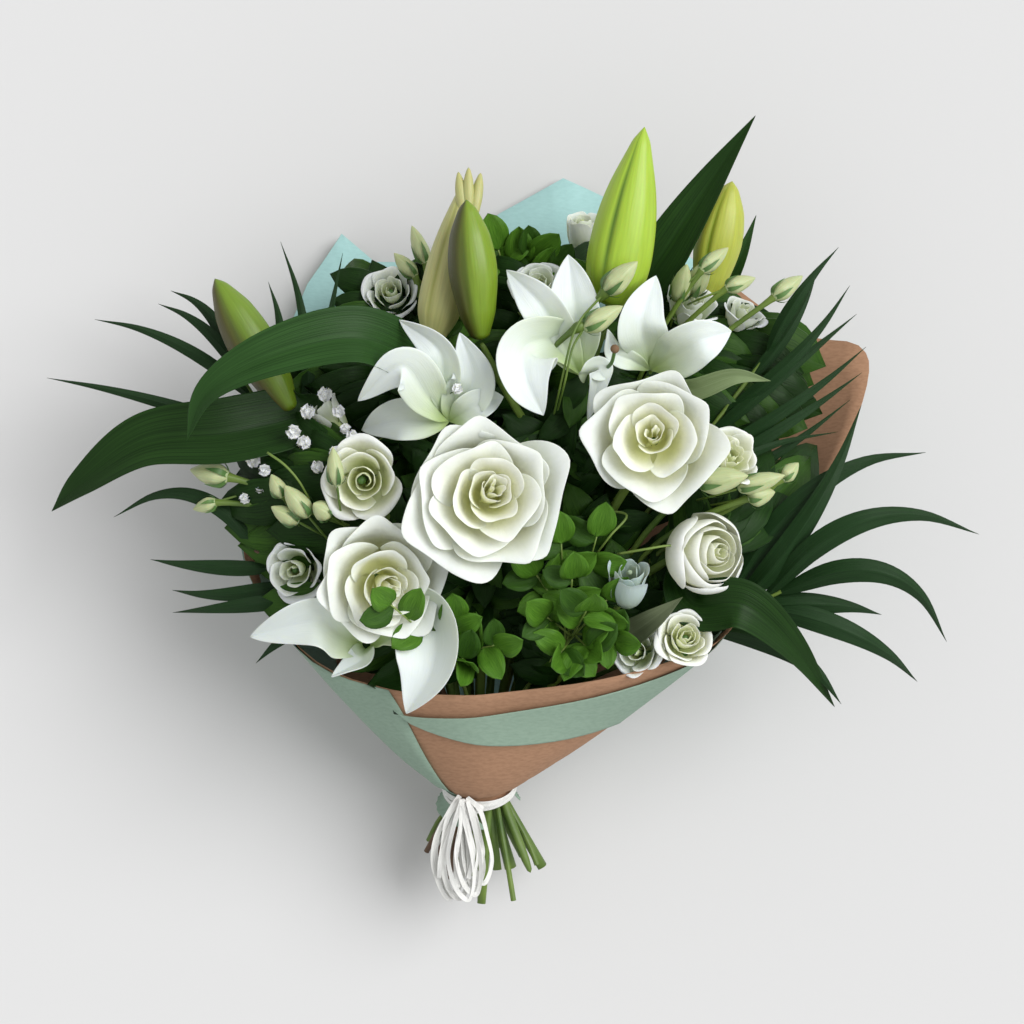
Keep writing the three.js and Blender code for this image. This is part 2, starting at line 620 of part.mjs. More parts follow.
// A ball in each flower, that the routes keep out of: its middle as a share of the flower's depth,
// and its radius as a share of the flower's width.
const BALL_DEPTH = 0.5;
const BALL_RADIUS = 0.36;
const FLOWER_BALLS = [...ROSES, ...LISIANTHUS].map(([name, kind, centre, width, face]) => ({
  name,
  middle: V(...centre).addScaledVector(V(...face).normalize(), kind.core[0][1] * width * BALL_DEPTH),
  radius: width * BALL_RADIUS,
}));

// Pushes the routes apart until no two are closer than their thickness, and clear of the flowers.
function spread(strands) {
  const last = STATIONS - 1;
  for (let pass = 0; pass < PASSES; pass += 1) {
    for (let a = 0; a < strands.length; a += 1) {
      for (let b = a + 1; b < strands.length; b += 1) {
        if (strands[a].owner !== strands[b].owner) pushApart(strands[a], strands[b], last);
      }
    }
    for (const strand of strands) {
      for (let i = 2; i < last; i += 1) {
        const point = strand.points[i];
        for (const ball of FLOWER_BALLS) {
          const away = point.clone().sub(ball.middle);
          const need = ball.radius + strand.radii[0];
          const short = need - away.length();
          if (short > 0 && i < last - FREE_END) point.addScaledVector(away.normalize(), BALL_PUSH * short);
        }
        const middle = strand.points[i - 1].clone().add(strand.points[i + 1]).multiplyScalar(0.5);
        point.lerp(middle, SMOOTHING);
        keepInside(point, strand.radii[0] + PAPER_THICK + 1);
      }
    }
    for (const item of STEMS) {
      for (const branch of item.branches) branch.route[0].copy(item.route[branch.joint]);
    }
  }
}

// Brings a point of a route back inside the cone of paper.
function keepInside(point, clear) {
  const way = polar(point);
  const limit = paperRadius(way.angle, way.height) - clear;
  if (way.radius > limit) point.copy(fromPolar(way.angle, limit, way.height));
}

function paperRadius(angle, height) {
  let column = 0;
  for (let i = 0; i < RIM.length; i += 1) {
    const next = (i + 1) % RIM.length;
    const span = wrapped(RIM_ANGLES[next] - RIM_ANGLES[i]);
    const part = wrapped(angle - RIM_ANGLES[i]) / span;
    if (part >= 0 && part <= 1) column = i + part;
  }
  for (let share = 0; share < 1; share += 0.1) {
    const [low, high] = [share, share + 0.1].map((s) => polar(paperPoint(column, s)));
    if (height <= high.height) {
      const part = Math.max(0, height - low.height) / (high.height - low.height);
      return low.radius + part * (high.radius - low.radius);
    }
  }
  return Infinity;
}

function pushApart(a, b, last) {
  const need = a.radii[0] + b.radii[0] + ROUTE_GAP;
  for (let i = 1; i <= last; i += 1) {
    for (let j = 1; j <= last; j += 1) {
      const apart = b.points[j].clone().sub(a.points[i]);
      const distance = apart.length();
      if (distance < need) {
        apart.multiplyScalar((0.5 * (need - distance)) / Math.max(distance, 0.01));
        if (i > 1 && i < last) a.points[i].sub(apart);
        if (j > 1 && j < last) b.points[j].add(apart);
      }
    }
  }
}

function cutEnd(item, number) {
  const length = CUT_END_LENGTHS[number % CUT_END_LENGTHS.length];
  const share = length / FULL_SPREAD_AT;
  const radius = item.ring.radius + item.ring.spreadOut * share;
  const round = item.ring.spreadRound * share;
  const sideways = item.ring.spreadSide * share;
  const end = fromPolar(item.angle, radius, -length);
  end.addScaledVector(SIDE, Math.cos(item.angle) * sideways - Math.sin(item.angle) * round);
  end.addScaledVector(FRONT, Math.cos(item.angle) * round);
  end.z += length * CUT_END_LIFT;
  return end;
}

function stemSolids(item, number, grow) {
  const neckBelow = fromPolar(item.angle, item.ring.radius, NECK_LOW - TIE_HALF);
  const neckAbove = fromPolar(item.angle, item.ring.radius, NECK_LOW + TIE_HALF);
  const pick = STEM_PICKS.map((i) => item.route[i]);
  const options = { edge: fromPolar(item.angle, 1, 0).sub(TIE), held: 3, steps: 8, grow };
  const pieces = [
    stem([cutEnd(item, number), neckBelow, neckAbove, ...pick], item.radii, options),
  ];
  for (const branch of item.branches) {
    const route = BRANCH_PICKS.map((i) => branch.route[i]);
    const { radius, bud, size } = branch;
    if (bud) {
      const way = bud.clone().sub(branch.end).setLength(size * SIDE_BUD_LONG);
      route.push(branch.end.clone().addScaledVector(way, SIDE_BUD_WIDEST), branch.end.clone().add(way));
      const radii = [radius, radius, radius, radius * 1.2, size * SIDE_BUD_HALF, 0.3];
      pieces.push(stem(route, radii, { steps: 5, grow }));
    } else {
      pieces.push(stem(route, [radius, radius], { steps: 3, grow }));
    }
  }
  return pieces;
}

// ---- Leaves, fronds and sprays -------------------------------------------------------------

// Large leaves: stem they grow from, centre line after that stem, width, side that faces up.
const LEAVES = [
  ['leaf_arched', 'stem_lily_left',
    [[-52, 86, 150], [-88, 99, 178], [-136, 88, 184], [-172, 68, 176], [-186, 40, 160]], 31, [0, 0.3, 1]],
  ['leaf_broad', 'stem_lisianthus_left',
    [[-123, 56, 118], [-165, 46, 132], [-212, 41, 130], [-250, 18, 112], [-272, 0, 95]], 35, [0, 0.2, 1]],
  ['leaf_tall', 'stem_lily_right', [[70, 119, 92], [94, 159, 102], [118, 196, 112], [141, 230, 125]],
    27, [-0.3, -0.2, 1]],
  ['leaf_low_right', 'stem_lisianthus_right',
    [[104, -52, 142], [132, -53, 158], [162, -78, 138], [190, -115, 105]], 27, [0.2, 0, 1]],
  ['leaf_pale', 'stem_lily_right', [[101, 70, 158], [126, 77, 172], [148, 74, 162]], 12, [0, 0.2, 1]],
  ['leaf_rim', 'stem_lisianthus_rim', [[68, -70, 152], [82, -60, 163], [97, -48, 164]], 15, [0, 0, 1]],
  ['leaf_far_right', 'stem_lily_right', [[124, 130, 80], [135, 151, 88], [144, 175, 92]], 10, [0, 0, 1]],
];

// Fronds: leaflets as [middle, tip], from the top of the frond's stalk down.
const FRONDS = {
  frond_left_low: [
    [[-188, 10, 114], [-234, -3, 97]],
    [[-179, -32, 106], [-213, -28, 92]],
    [[-164, -48, 110], [-200, -46, 94]],
    [[-152, -54, 120], [-199, -59, 100]],
    [[-136, -76, 124], [-149, -88, 118]],
  ],
  frond_left_up: [
    [[-178, 116, 94], [-202, 131, 82]],
    [[-180, 107, 100], [-209, 123, 86]],
    [[-204, 102, 99], [-247, 114, 82]],
    [[-138, 118, 95], [-144, 136, 86]],
    [[-229, 70, 110], [-274, 79, 92]],
    [[-126, 128, 93], [-137, 160, 82]],
    [[-106, 122, 92], [-100, 153, 86]],
  ],
  frond_right_up: [
    [[161, 117, 124], [190, 154, 117]],
    [[170, 121, 113], [179, 143, 107]],
    [[176, 103, 122], [197, 132, 112]],
    [[186, 103, 110], [202, 116, 102]],
    [[185, 78, 113], [208, 97, 98]],
    [[186, 68, 110], [206, 82, 93]],
    [[174, 47, 109], [199, 66, 94]],
    [[162, 42, 118], [191, 47, 103]],
  ],
  frond_right_low: [
    [[208, -34, 142], [255, -76, 100]],
    [[199, -6, 150], [273, -13, 107]],
    [[189, -67, 130], [239, -100, 90]],
    [[187, -54, 124], [216, -60, 107]],
    [[177, 7, 140], [203, 62, 120]],
    [[202, 28, 122], [243, 35, 98]],
    [[176, -92, 122], [192, -112, 112]],
  ],
};
const LEAFLET_WIDTHS = {
  frond_left_low: 9, frond_left_up: 7.5, frond_right_up: 8, frond_right_low: 12,
};

// Small round leaves: spray they grow on, foot and tip.
const SPRAY_LEAVES = {
  greenery_front: [
    [[30, -68, 150], [16, -60, 162]], [[40, -66, 152], [34, -48, 166]],
    [[48, -70, 150], [58, -56, 162]], [[36, -78, 150], [22, -86, 162]],
    [[46, -78, 150], [52, -90, 160]], [[26, -58, 148], [10, -48, 158]],
    [[20, -74, 146], [4, -74, 158]], [[34, -62, 154], [44, -44, 162]],
    [[54, -66, 146], [64, -62, 158]], [[38, -84, 150], [38, -98, 156]],
    [[28, -50, 142], [26, -34, 152]], [[24, -84, 148], [8, -92, 156]],
  ],
  greenery_left: [
    [[-40, -78, 156], [-52, -66, 166]], [[-34, -74, 156], [-26, -60, 168]],
    [[-38, -82, 154], [-50, -88, 164]], [[-28, -80, 152], [-12, -84, 160]],
    [[-32, -86, 154], [-26, -98, 162]], [[-26, -72, 148], [-8, -62, 160]],
    [[-42, -72, 150], [-62, -82, 170]], [[-24, -88, 150], [-10, -98, 156]],
  ],
  greenery_back: [
    [[2, 146, 90], [16, 162, 96]], [[-4, 146, 90], [-18, 160, 98]],
    [[0, 152, 90], [2, 172, 98]], [[6, 138, 88], [26, 148, 100]],
    [[-8, 138, 88], [-28, 142, 96]], [[4, 128, 92], [30, 130, 104]],
    [[-8, 124, 92], [-34, 122, 104]], [[2, 118, 96], [18, 108, 116]],
  ],
};

const SPRAY_LEAF_WIDTH = 15;
const LEAF_LEAN = 0.37;
const LEAF_TURN = 2.4;
// The form of each kind of tongue: how wide it starts, where it is widest and how it is cupped.
const LARGE_LEAF = { root: 0.22, cup: 0.3 };
const LEAFLET = { root: 0.12, widest: 0.9, cup: -0.5 };
const SPRAY_LEAF = { root: 0.12, widest: 1.6, cup: 0.15 };
const LILY_PETAL = { root: 0.1, widest: 1.15, cup: 0.35 };
const BLADE_THICK = 1.6;
// Where the leaves root: over a last share of their stalk, and this much below its very top.
const ROOTS_OVER = 0.3;
const RIGHT_UP_ROOTS_OVER = 0.5;
const ROOT_BELOW_TOP = 0.4;

function nearest(route, point) {
  return route.reduce((best, q) => (q.distanceTo(point) < best.distanceTo(point) ? q : best));
}

function leafSolid([, owner, path, width, face], grow) {
  const item = STEMS.find((row) => row.name === owner);
  const lines = [item.route, ...item.branches.map((branch) => branch.route)];
  const first = V(...path[0]);
  const foot = nearest(lines.flat(), first);
  const line = [foot.toArray(), ...path];
  const surface = tongue(line, width, V(...face).normalize(), LARGE_LEAF);
  return [blade(surface, { rows: 8, thick: BLADE_THICK, grow })];
}

// Root of leaf number i of count, spread evenly along a stalk's end, topmost first.
function rootOn(item, i, count) {
  const share = item.name === 'frond_right_up' ? RIGHT_UP_ROOTS_OVER : ROOTS_OVER;
  const position = (1 - (share * i) / count) * (STATIONS - 1) - ROOT_BELOW_TOP;
  const low = Math.floor(position);
  return item.route[low].clone().lerp(item.route[low + 1], position - low).toArray();
}

function leafletSolids(item, leaflets, grow) {
  return leaflets.map(([middle, tip], i) => {
    const line = [rootOn(item, i, leaflets.length), middle, tip];
    const surface = tongue(line, LEAFLET_WIDTHS[item.name], V(0, 0, 1), LEAFLET);
    return blade(surface, { rows: 5, thick: BLADE_THICK, grow });
  });
}

function sprayLeaves(item, leaves, grow) {
  return leaves.map(([foot, tip], i) => {
    const middle = V(...foot).lerp(V(...tip), 0.5);
    middle.z += 2;
    const turn = i * LEAF_TURN;
    const face = V(Math.sin(turn) * LEAF_LEAN, Math.cos(turn) * LEAF_LEAN, 1).normalize();
    const line = [rootOn(item, i, leaves.length), foot, middle.toArray(), tip];
    return blade(tongue(line, SPRAY_LEAF_WIDTH, face, SPRAY_LEAF), { rows: 3, thick: BLADE_THICK, grow });
  });
}

// A lily's petal rises this much above a straight way to its middle, at this share of the way.
const LIFT_AT = 0.45;
const LIFT = 5;

function lilySolids([, throat, petals], grow) {
  const base = V(...throat);
  const pieces = [turned(LILY_CORE, base, LILY_FACE, { grow })];
  for (const [middle, tip, width, face] of petals) {
    const lift = V(...throat).lerp(V(...middle), LIFT_AT);
    lift.z += LIFT;
    const line = [throat, lift.toArray(), middle, tip];
    const surface = tongue(line, width, V(...face).normalize(), LILY_PETAL);
    pieces.push(blade(surface, { rows: 6, thick: BLADE_THICK, grow }));
  }
  return pieces;
}

function lilyBudSolids([, foot, tip, width, profile], grow) {
  const way = V(...tip).sub(V(...foot));
  const long = way.length();
  const outline = profile.map(([r, h]) => [(r * width) / 2, h * long]);
  return [turned(outline, V(...foot), way.normalize(), { sides: 7, grow })];
}

// ---- Paper ---------------------------------------------------------------------------------

// The rim of the cone of paper, once round from the middle of the front towards +X.
const RIM = vectors([
  [-4, -103, 150], [50, -96, 150], [102, -82, 142], [125, -70, 128], [152, -34, 100],
  [190, 26, 80], [212, 76, 64], [208, 100, 52], [171, 110, 34], [115, 153, 16],
  [66, 188, 8], [31, 204, 8], [-7, 183, 8], [-50, 153, 8], [-84, 153, 8],
  [-104, 170, 10], [-124, 138, 22], [-150, 67, 50], [-161, -2, 75], [-149, -49, 92],
  [-114, -87, 122], [-70, -102, 142], [-35, -105, 149],
]);
const RIM_ANGLES = RIM.map((point) => polar(point).angle);
const TAIL_FLARE = 5;
// How far the cone bulges out between the neck and the rim: all round, and more on its back.
const BULGE = 9;
const BACK_BULGE = 31;
const NECK_FOOT = -1;
const TAIL_END = -1 - PAPER_TAIL / (NECK_TOP - NECK_LOW);

// Point on the cone of paper: column counts round the rim, and share runs from 0 at the top of the
// neck to 1 at the rim. It is -1 at the foot of the neck, and less in the tail below.
function paperPoint(column, share) {
  const count = RIM.length;
  const low = Math.floor(column);
  const [a, b] = [((low % count) + count) % count, (((low + 1) % count) + count) % count];
  const part = column - low;
  const rim = RIM[a].clone().lerp(RIM[b], part);
  const angle = RIM_ANGLES[a] + part * wrapped(RIM_ANGLES[b] - RIM_ANGLES[a]);
  const outward = V(0, 0, 0).addScaledVector(SIDE, Math.cos(angle)).addScaledVector(FRONT, Math.sin(angle));
  if (share <= 0) {
    const height = NECK_TOP + share * (NECK_TOP - NECK_LOW);
    const flare = Math.max(0, NECK_LOW - height) / PAPER_TAIL;
    return fromPolar(angle, PAPER_NECK_RADIUS + TAIL_FLARE * flare * flare, height);
  }
  const neck = fromPolar(angle, PAPER_NECK_RADIUS, NECK_TOP);
  const belly = BULGE + BACK_BULGE * Math.max(0, -Math.sin(angle)) ** 1.5;
  return neck.lerp(rim, share).addScaledVector(outward, belly * Math.sin(Math.PI * share ** 0.6));
}

// A sheet over some of the cone, layer 0 innermost. Its rows are at the given stations between the
// neck and the rim, or spread evenly over edge(column), the [lowest, highest] share.
function paperSheet([, first, last, layer, rows, stations, edge], grow = 0) {
  const columns = last - first;
  const surface = (u, v) => {
    const column = first + ((v + 1) / 2) * columns;
    const share = stations ? shareAt(stations, u) : mix(edge(column), u);
    const step = 0.02;
    const p = paperPoint(column, share);
    const along = paperPoint(column, share + step).sub(paperPoint(column, share - step));
    const across = paperPoint(column + step, share).sub(paperPoint(column - step, share));
    const outward = across.cross(along).normalize();
    return p.addScaledVector(outward, layer * PAPER_STEP);
  };
  return paperBlade(surface, columns, rows, layer, grow);
}

// Like blade, but as thick at its edges as in its middle, and flattened where it lies.
function paperBlade(surface, columns, rows, layer, grow) {
  const sheet = new THREE.PlaneGeometry(2, 1, columns, rows);
  const place = sheet.attributes.position;
  const step = 0.004;
  const top = [];
  const bottom = [];
  for (let i = 0; i < place.count; i += 1) {
    const [v, u] = [place.getX(i), place.getY(i) + 0.5];
    const p = surface(u, v);
    const along = surface(Math.min(1, u + step), v).sub(surface(Math.max(0, u - step), v)).normalize();
    const across = surface(u, Math.min(1, v + step)).sub(surface(u, Math.max(-1, v - step))).normalize();
    const normal = across.clone().cross(along).normalize();
    const half = PAPER_THICK / 2 + grow;
    if (grow > 0 && u < 0.001) p.addScaledVector(along, -grow);
    if (grow > 0 && u > 0.999) p.addScaledVector(along, grow);
    if (grow > 0 && Math.abs(v) > 0.999) p.addScaledVector(across, grow * Math.sign(v));
    const outer = p.clone().addScaledVector(normal, half);
    const inner = p.clone().addScaledVector(normal, -half);
    const under = Math.max(0, OUTERMOST - layer) * PAPER_STEP - grow;
    outer.z = Math.max(outer.z, under);
    inner.z = Math.max(inner.z, under + PAPER_THICK + 2 * grow);
    top.push(outer);
    bottom.push(inner);
  }
  return solidOf(closeSheet(sheet.index.array, top, bottom));
}

const OUTERMOST = 1;
const STATIONS_UP = [0, 0.16, 0.36, 0.6, 0.82, 1];
const PAPERS = [
  // Kraft sheet, innermost: the right wing, the whole front and the left side.
  ['paper_kraft', -6, 9, 0, 6, [NECK_FOOT, ...STATIONS_UP]],
  // Sage sheet outside it: back, both sides and a little of the front on each side, with its tail.
  ['paper_sage_back', 4, 21, 1, 7, [TAIL_END, NECK_FOOT, ...STATIONS_UP]],
  // Sage band across the front, over the kraft.
  ['paper_sage_band', -2, 4, 1.4, 3, null, (column) => {
    const share = (column + 2) / 6;
    return [0.86 - 0.5 * Math.sqrt(share), 0.9 + 0.1 * (share - 0.5)];
  }],
];

// ---- Raffia --------------------------------------------------------------------------------

const RAFFIA_LOOPS = [
  [
    [-34, -171, 76], [-46, -190, 74], [-48, -212, 66], [-36, -229, 62],
    [-26, -214, 66], [-24, -190, 74], [-24, -172, 78],
  ],
  [
    [-18, -172, 78], [-12, -192, 74], [-4, -208, 68], [-10, -222, 66],
    [-20, -206, 70], [-22, -188, 76], [-22, -174, 79],
  ],
];

const RAFFIA_THICK = 1.8;
const RING_SIDES = 16;
const RING_LOW = 0.5;
const RING_HIGH = 7.5;
const STRAND_RADIUS = 1.3;
const KNOT_ANGLE = Math.PI / 2 + 0.15;
const KNOT_HEIGHT = 4;
const KNOT_OUT = 2;
const KNOT_PROFILE = [[0, -6], [5, -3], [5, 3], [0, 6]];

function raffiaSolids(grow) {
  if (grow > 0) return [];
  const inside = (PAPER_NECK_RADIUS + PAPER_STEP + PAPER_THICK / 2 + GAP) / Math.cos(Math.PI / RING_SIDES);
  const outside = inside + RAFFIA_THICK;
  const band = [[inside, RING_LOW], [outside, RING_LOW], [outside, RING_HIGH], [inside, RING_HIGH],
    [inside, RING_LOW]];
  const ring = turned(band, TIE.clone(), AXIS, { sides: RING_SIDES });
  const knotAt = fromPolar(KNOT_ANGLE, outside + KNOT_OUT, KNOT_HEIGHT);
  const knot = turned(KNOT_PROFILE, knotAt, SIDE, { sides: 6 });
  const loops = RAFFIA_LOOPS.map((loop) => {
    const points = [knotAt.toArray(), ...loop, knotAt.toArray()];
    return stem(vectors(points), [STRAND_RADIUS, STRAND_RADIUS], { steps: 12 });
  });
  return [ring, knot, ...loops];
}

// ---- Assembly ------------------------------------------------------------------------------

const COLOURS = {
  petal: { color: 0xf1ede2, roughness: 0.7, metalness: 0 },
  lily: { color: 0xe9ead8, roughness: 0.6, metalness: 0 },
  bud: { color: 0x9fb255, roughness: 0.5, metalness: 0 },
  leaf: { color: 0x2f5a2a, roughness: 0.55, metalness: 0 },
  palm: { color: 0x2a5030, roughness: 0.5, metalness: 0 },
  light: { color: 0x6d9a3a, roughness: 0.55, metalness: 0 },
  stem: { color: 0x5f7f3c, roughness: 0.6, metalness: 0 },
  kraft: { color: 0xb08a6b, roughness: 0.85, metalness: 0 },
  sage: { color: 0x9db5a2, roughness: 0.85, metalness: 0 },
  raffia: { color: 0xeee9dc, roughness: 0.8, metalness: 0 },
};
const finishes = Object.fromEntries(
  Object.entries(COLOURS).map(([name, look]) => [name, new THREE.MeshStandardMaterial(look)]),
);

const bouquet = new THREE.Group();
const placed = [];
const SIMPLIFIED_TO = 0.06;
const MOSTLY_KEPT = 0.8;

function overlaps(a, b) {
  return [0, 1, 2].every((k) => a.min[k] <= b.max[k] && b.min[k] <= a.max[k]);
}

// Adds a node: the union of its pieces, cut clear of all the nodes placed before it.
function add(name, finish, make) {
  let solid = Manifold.union(make(0));
  const whole = solid.volume();
  const box = solid.boundingBox();
  const near = placed.filter((other) => overlaps(box, other.box));
  if (near.length > 0) solid = solid.subtract(Manifold.union(near.map((other) => other.room)));
  const pieces = solid.simplify(SIMPLIFIED_TO).decompose().sort((a, b) => b.volume() - a.volume());
  solid = pieces[0];
  const kept = solid.volume() / whole;
  if (kept < MOSTLY_KEPT) console.warn(`${name}: kept ${kept.toFixed(2)} in ${pieces.length} pieces`);
  const grown = make(GAP);
  const room = grown.length > 0 ? Manifold.union(grown) : solid;
  placed.push({ name, room, box: room.boundingBox() });
  const { points, faces } = withoutHairs(solid.getMesh());
  const geometry = indexed(points, faces.flat());
  geometry.computeVertexNormals();
  const mesh = new THREE.Mesh(geometry, finishes[finish]);
  mesh.name = name;
  bouquet.add(mesh);
}

layStems();
const STEM_NAMES = STEMS.filter((item) => item.name.startsWith('stem_'));
STEM_NAMES.forEach((item) => {
  add(item.name, 'stem', (grow) => stemSolids(item, STEMS.indexOf(item), grow));
});
// The fronds' and sprays' own stalks keep their room before the flowers are placed.
const stalks = STEMS.filter((item) => !item.name.startsWith('stem_'));
stalks.forEach((item) => {
  const room = Manifold.union(stemSolids(item, STEMS.indexOf(item), GAP));
  placed.push({ name: item.name, room, box: room.boundingBox() });
});
PAPERS.forEach((row) => {
  const finish = row[0].includes('kraft') ? 'kraft' : 'sage';
  add(row[0], finish, (grow) => [paperSheet(row, grow)]);
});
ROSES.forEach(([name, kind, centre, width, face]) => {
  add(name, 'petal', (grow) => [flower(kind, V(...centre), width, V(...face), grow)]);
});
LISIANTHUS.forEach(([name, kind, centre, width, face], i) => {
  add(name, 'petal', (grow) => [flower(kind, V(...centre), width, V(...face), grow, i)]);
});
LILIES.forEach((row) => add(row[0], 'lily', (grow) => lilySolids(row, grow)));
LILY_BUDS.forEach((row) => add(row[0], 'bud', (grow) => lilyBudSolids(row, grow)));
LEAVES.forEach((row) => add(row[0], 'leaf', (grow) => leafSolid(row, grow)));
stalks.forEach((item) => {
  placed.splice(placed.findIndex((other) => other.name === item.name), 1);
  const leaflets = FRONDS[item.name];
  const leaves = SPRAY_LEAVES[item.name];
  add(item.name, leaves || !leaflets ? 'light' : 'palm', (grow) => [
    ...stemSolids(item, STEMS.indexOf(item), grow),
    ...(leaflets ? leafletSolids(item, leaflets, grow) : []),
    ...(leaves ? sprayLeaves(item, leaves, grow) : []),
  ]);
});
add('raffia_tie', 'raffia', raffiaSolids);

export default bouquet;
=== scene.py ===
"""The looks of a mixed bouquet that lies on its back: white roses, lilies and lisianthus with palm
fronds and small greenery, in kraft and sage paper, tied with raffia.

Lengths in the tables below are in millimetres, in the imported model's frame: +Z is up, out of the
flowers' faces, and the cut stems point along -Y.
"""
import math
import random

import bpy
import numpy as np
from mathutils import Matrix, Vector


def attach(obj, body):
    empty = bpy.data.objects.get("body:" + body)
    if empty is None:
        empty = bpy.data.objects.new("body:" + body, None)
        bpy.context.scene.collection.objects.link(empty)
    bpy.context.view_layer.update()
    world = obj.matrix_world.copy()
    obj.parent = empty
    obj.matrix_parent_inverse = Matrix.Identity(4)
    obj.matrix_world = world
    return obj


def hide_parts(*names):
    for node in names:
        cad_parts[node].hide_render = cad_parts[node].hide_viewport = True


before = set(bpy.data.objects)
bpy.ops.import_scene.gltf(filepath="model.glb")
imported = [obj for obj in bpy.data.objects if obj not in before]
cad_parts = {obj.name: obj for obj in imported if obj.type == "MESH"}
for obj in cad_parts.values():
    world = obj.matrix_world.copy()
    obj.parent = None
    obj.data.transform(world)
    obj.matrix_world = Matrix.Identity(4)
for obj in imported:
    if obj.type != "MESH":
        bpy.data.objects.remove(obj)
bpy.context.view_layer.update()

# ---- Camera ---------------------------------------------------------------------------------
# It looks straight down on the bouquet from a little over two metres, with a long lens, as the
# photograph does, so that the flowers' faces show and the stems point down the picture.
CAMERA_HEIGHT = 2.12
CAMERA_LENS = 121

camera = bpy.data.objects.new("camera", bpy.data.cameras.new("camera"))
camera.data.lens = CAMERA_LENS
camera.data.sensor_width = 36
camera.location = (0, 0, CAMERA_HEIGHT)
bpy.context.scene.collection.objects.link(camera)
bpy.context.scene.camera = camera

# ---- Paper wrap -----------------------------------------------------------------------------
# Florist's paper, kraft outside and a sheet of sage paper behind, rolled into a cone round the
# stems and gathered at the tie. A sage band is folded over the front, and a tail shows below it.
MM = 0.001
TIE = Vector((-20, -167, 50))
AXIS = Vector((0, 0.848, 0.530)).normalized()
SIDE = Vector((1, 0, 0))
FRONT = SIDE.cross(AXIS).normalized()
RIM = [Vector(p) for p in (
    (-4, -103, 150), (50, -96, 150), (102, -82, 142), (125, -70, 128), (152, -34, 100),
    (190, 26, 80), (212, 76, 64), (208, 100, 52), (171, 110, 34), (115, 153, 16),
    (66, 188, 8), (31, 204, 8), (-7, 183, 8), (-50, 153, 8), (-84, 153, 8),
    (-104, 170, 10), (-124, 138, 22), (-150, 67, 50), (-161, -2, 75), (-149, -49, 92),
    (-114, -87, 122), (-70, -102, 142), (-35, -105, 149),
)]
OUTWARDS = [((p - TIE) - AXIS * (p - TIE).dot(AXIS)).normalized() for p in RIM]
NECK_RADIUS = 19.1
NECK_TOP = 8
TAIL = 11
TAIL_FLARE = 5
# How far the cone bulges out between neck and rim: all round, and more on its back.
BULGE = 9
BACK_BULGE = 31
# Height of its crumples, and pleats to each corner of the rim.
CRUMPLE = 0.7
PLEATS = 1.4
PAPER_ROWS = 30
PAPER_STEP = 1.45
PAPER_THICK = 0.4


def deselect_all():
    for obj in bpy.context.selected_objects:
        obj.select_set(False)


def pick(obj):
    """Selects this object alone, as the active one."""
    deselect_all()
    obj.select_set(True)
    bpy.context.view_layer.objects.active = obj


def added(add, **settings):
    """The object that a primitive's operator adds."""
    deselect_all()
    add(**settings)
    return bpy.context.object


def shaped_grid(rows, columns, place):
    """A primitive grid, its corner at share u along and v across (-1 to 1) moved to place(u, v)."""
    obj = added(bpy.ops.mesh.primitive_grid_add, x_subdivisions=columns, y_subdivisions=rows, size=2)
    corners = obj.data.vertices
    flat = np.empty(len(corners) * 3)
    corners.foreach_get("co", flat)
    placed = [place((y + 1) / 2, x) * MM for x, y, _ in flat.reshape(-1, 3).tolist()]
    corners.foreach_set("co", np.array(placed).ravel())
    return obj


def joined(name, pieces):
    """One object, with this name, from all the pieces."""
    deselect_all()
    for piece in pieces:
        piece.select_set(True)
    bpy.context.view_layer.objects.active = pieces[0]
    if len(pieces) > 1:
        bpy.ops.object.join()
    obj = bpy.context.object
    obj.name = obj.data.name = name
    return obj


def set_material(pieces, material):
    for obj in pieces:
        obj.data.materials.clear()
        obj.data.materials.append(material)
    return pieces


def modify(obj, kind, **settings):
    """Adds a modifier with these settings and applies it."""
    pick(obj)
    modifier = obj.modifiers.new(kind.lower(), kind)
    for key, value in settings.items():
        setattr(modifier, key, value)
    bpy.ops.object.modifier_apply(modifier=modifier.name)


def smooth(obj, levels):
    if levels:
        modify(obj, "SUBSURF", levels=levels, render_levels=levels)
    obj.data.shade_smooth()


def belongs(obj, slot, *nodes):
    """Rides on the bouquet's one body and hides the nodes that it stands for; slot is not used."""
    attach(obj, "root")
    if nodes:
        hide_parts(*nodes)


def new_material(name, roughness):
    """A material with its node tree, shader and a maker of further nodes."""
    material = bpy.data.materials.new(name)
    material.use_nodes = True
    tree = material.node_tree
    shader = tree.nodes["Principled BSDF"]
    shader.inputs["Roughness"].default_value = roughness
    return material, tree, shader


def ramp(tree, source, stops):
    """A colour ramp over source, with (position, colour) stops."""
    node = tree.nodes.new("ShaderNodeValToRGB")
    while len(node.color_ramp.elements) < len(stops):
        node.color_ramp.elements.new(0.5)
    for element, (position, colour) in zip(node.color_ramp.elements, stops):
        element.position = position
        element.color = (*colour, 1)
    tree.links.new(source, node.inputs["Fac"])
    return node.outputs["Color"]


def paint(tree, shader, colour):
    tree.links.new(colour, shader.inputs["Base Color"])


def noise(tree, scale, detail, stretch=(1, 1, 1), on="Object"):
    """Noise over the piece's own coordinates, or over its UV map, stretched along them."""
    where = tree.nodes.new("ShaderNodeTexCoord")
    mapping = tree.nodes.new("ShaderNodeMapping")
    mapping.inputs["Scale"].default_value = stretch
    texture = tree.nodes.new("ShaderNodeTexNoise")
    texture.inputs["Scale"].default_value = scale
    texture.inputs["Detail"].default_value = detail
    tree.links.new(where.outputs[on], mapping.inputs["Vector"])
    tree.links.new(mapping.outputs["Vector"], texture.inputs["Vector"])
    return texture.outputs["Fac"]


def bump(tree, shader, height, distance, strength):
    node = tree.nodes.new("ShaderNodeBump")
    node.inputs["Distance"].default_value = distance
    node.inputs["Strength"].default_value = strength
    tree.links.new(height, node.inputs["Height"])
    tree.links.new(node.outputs["Normal"], shader.inputs["Normal"])


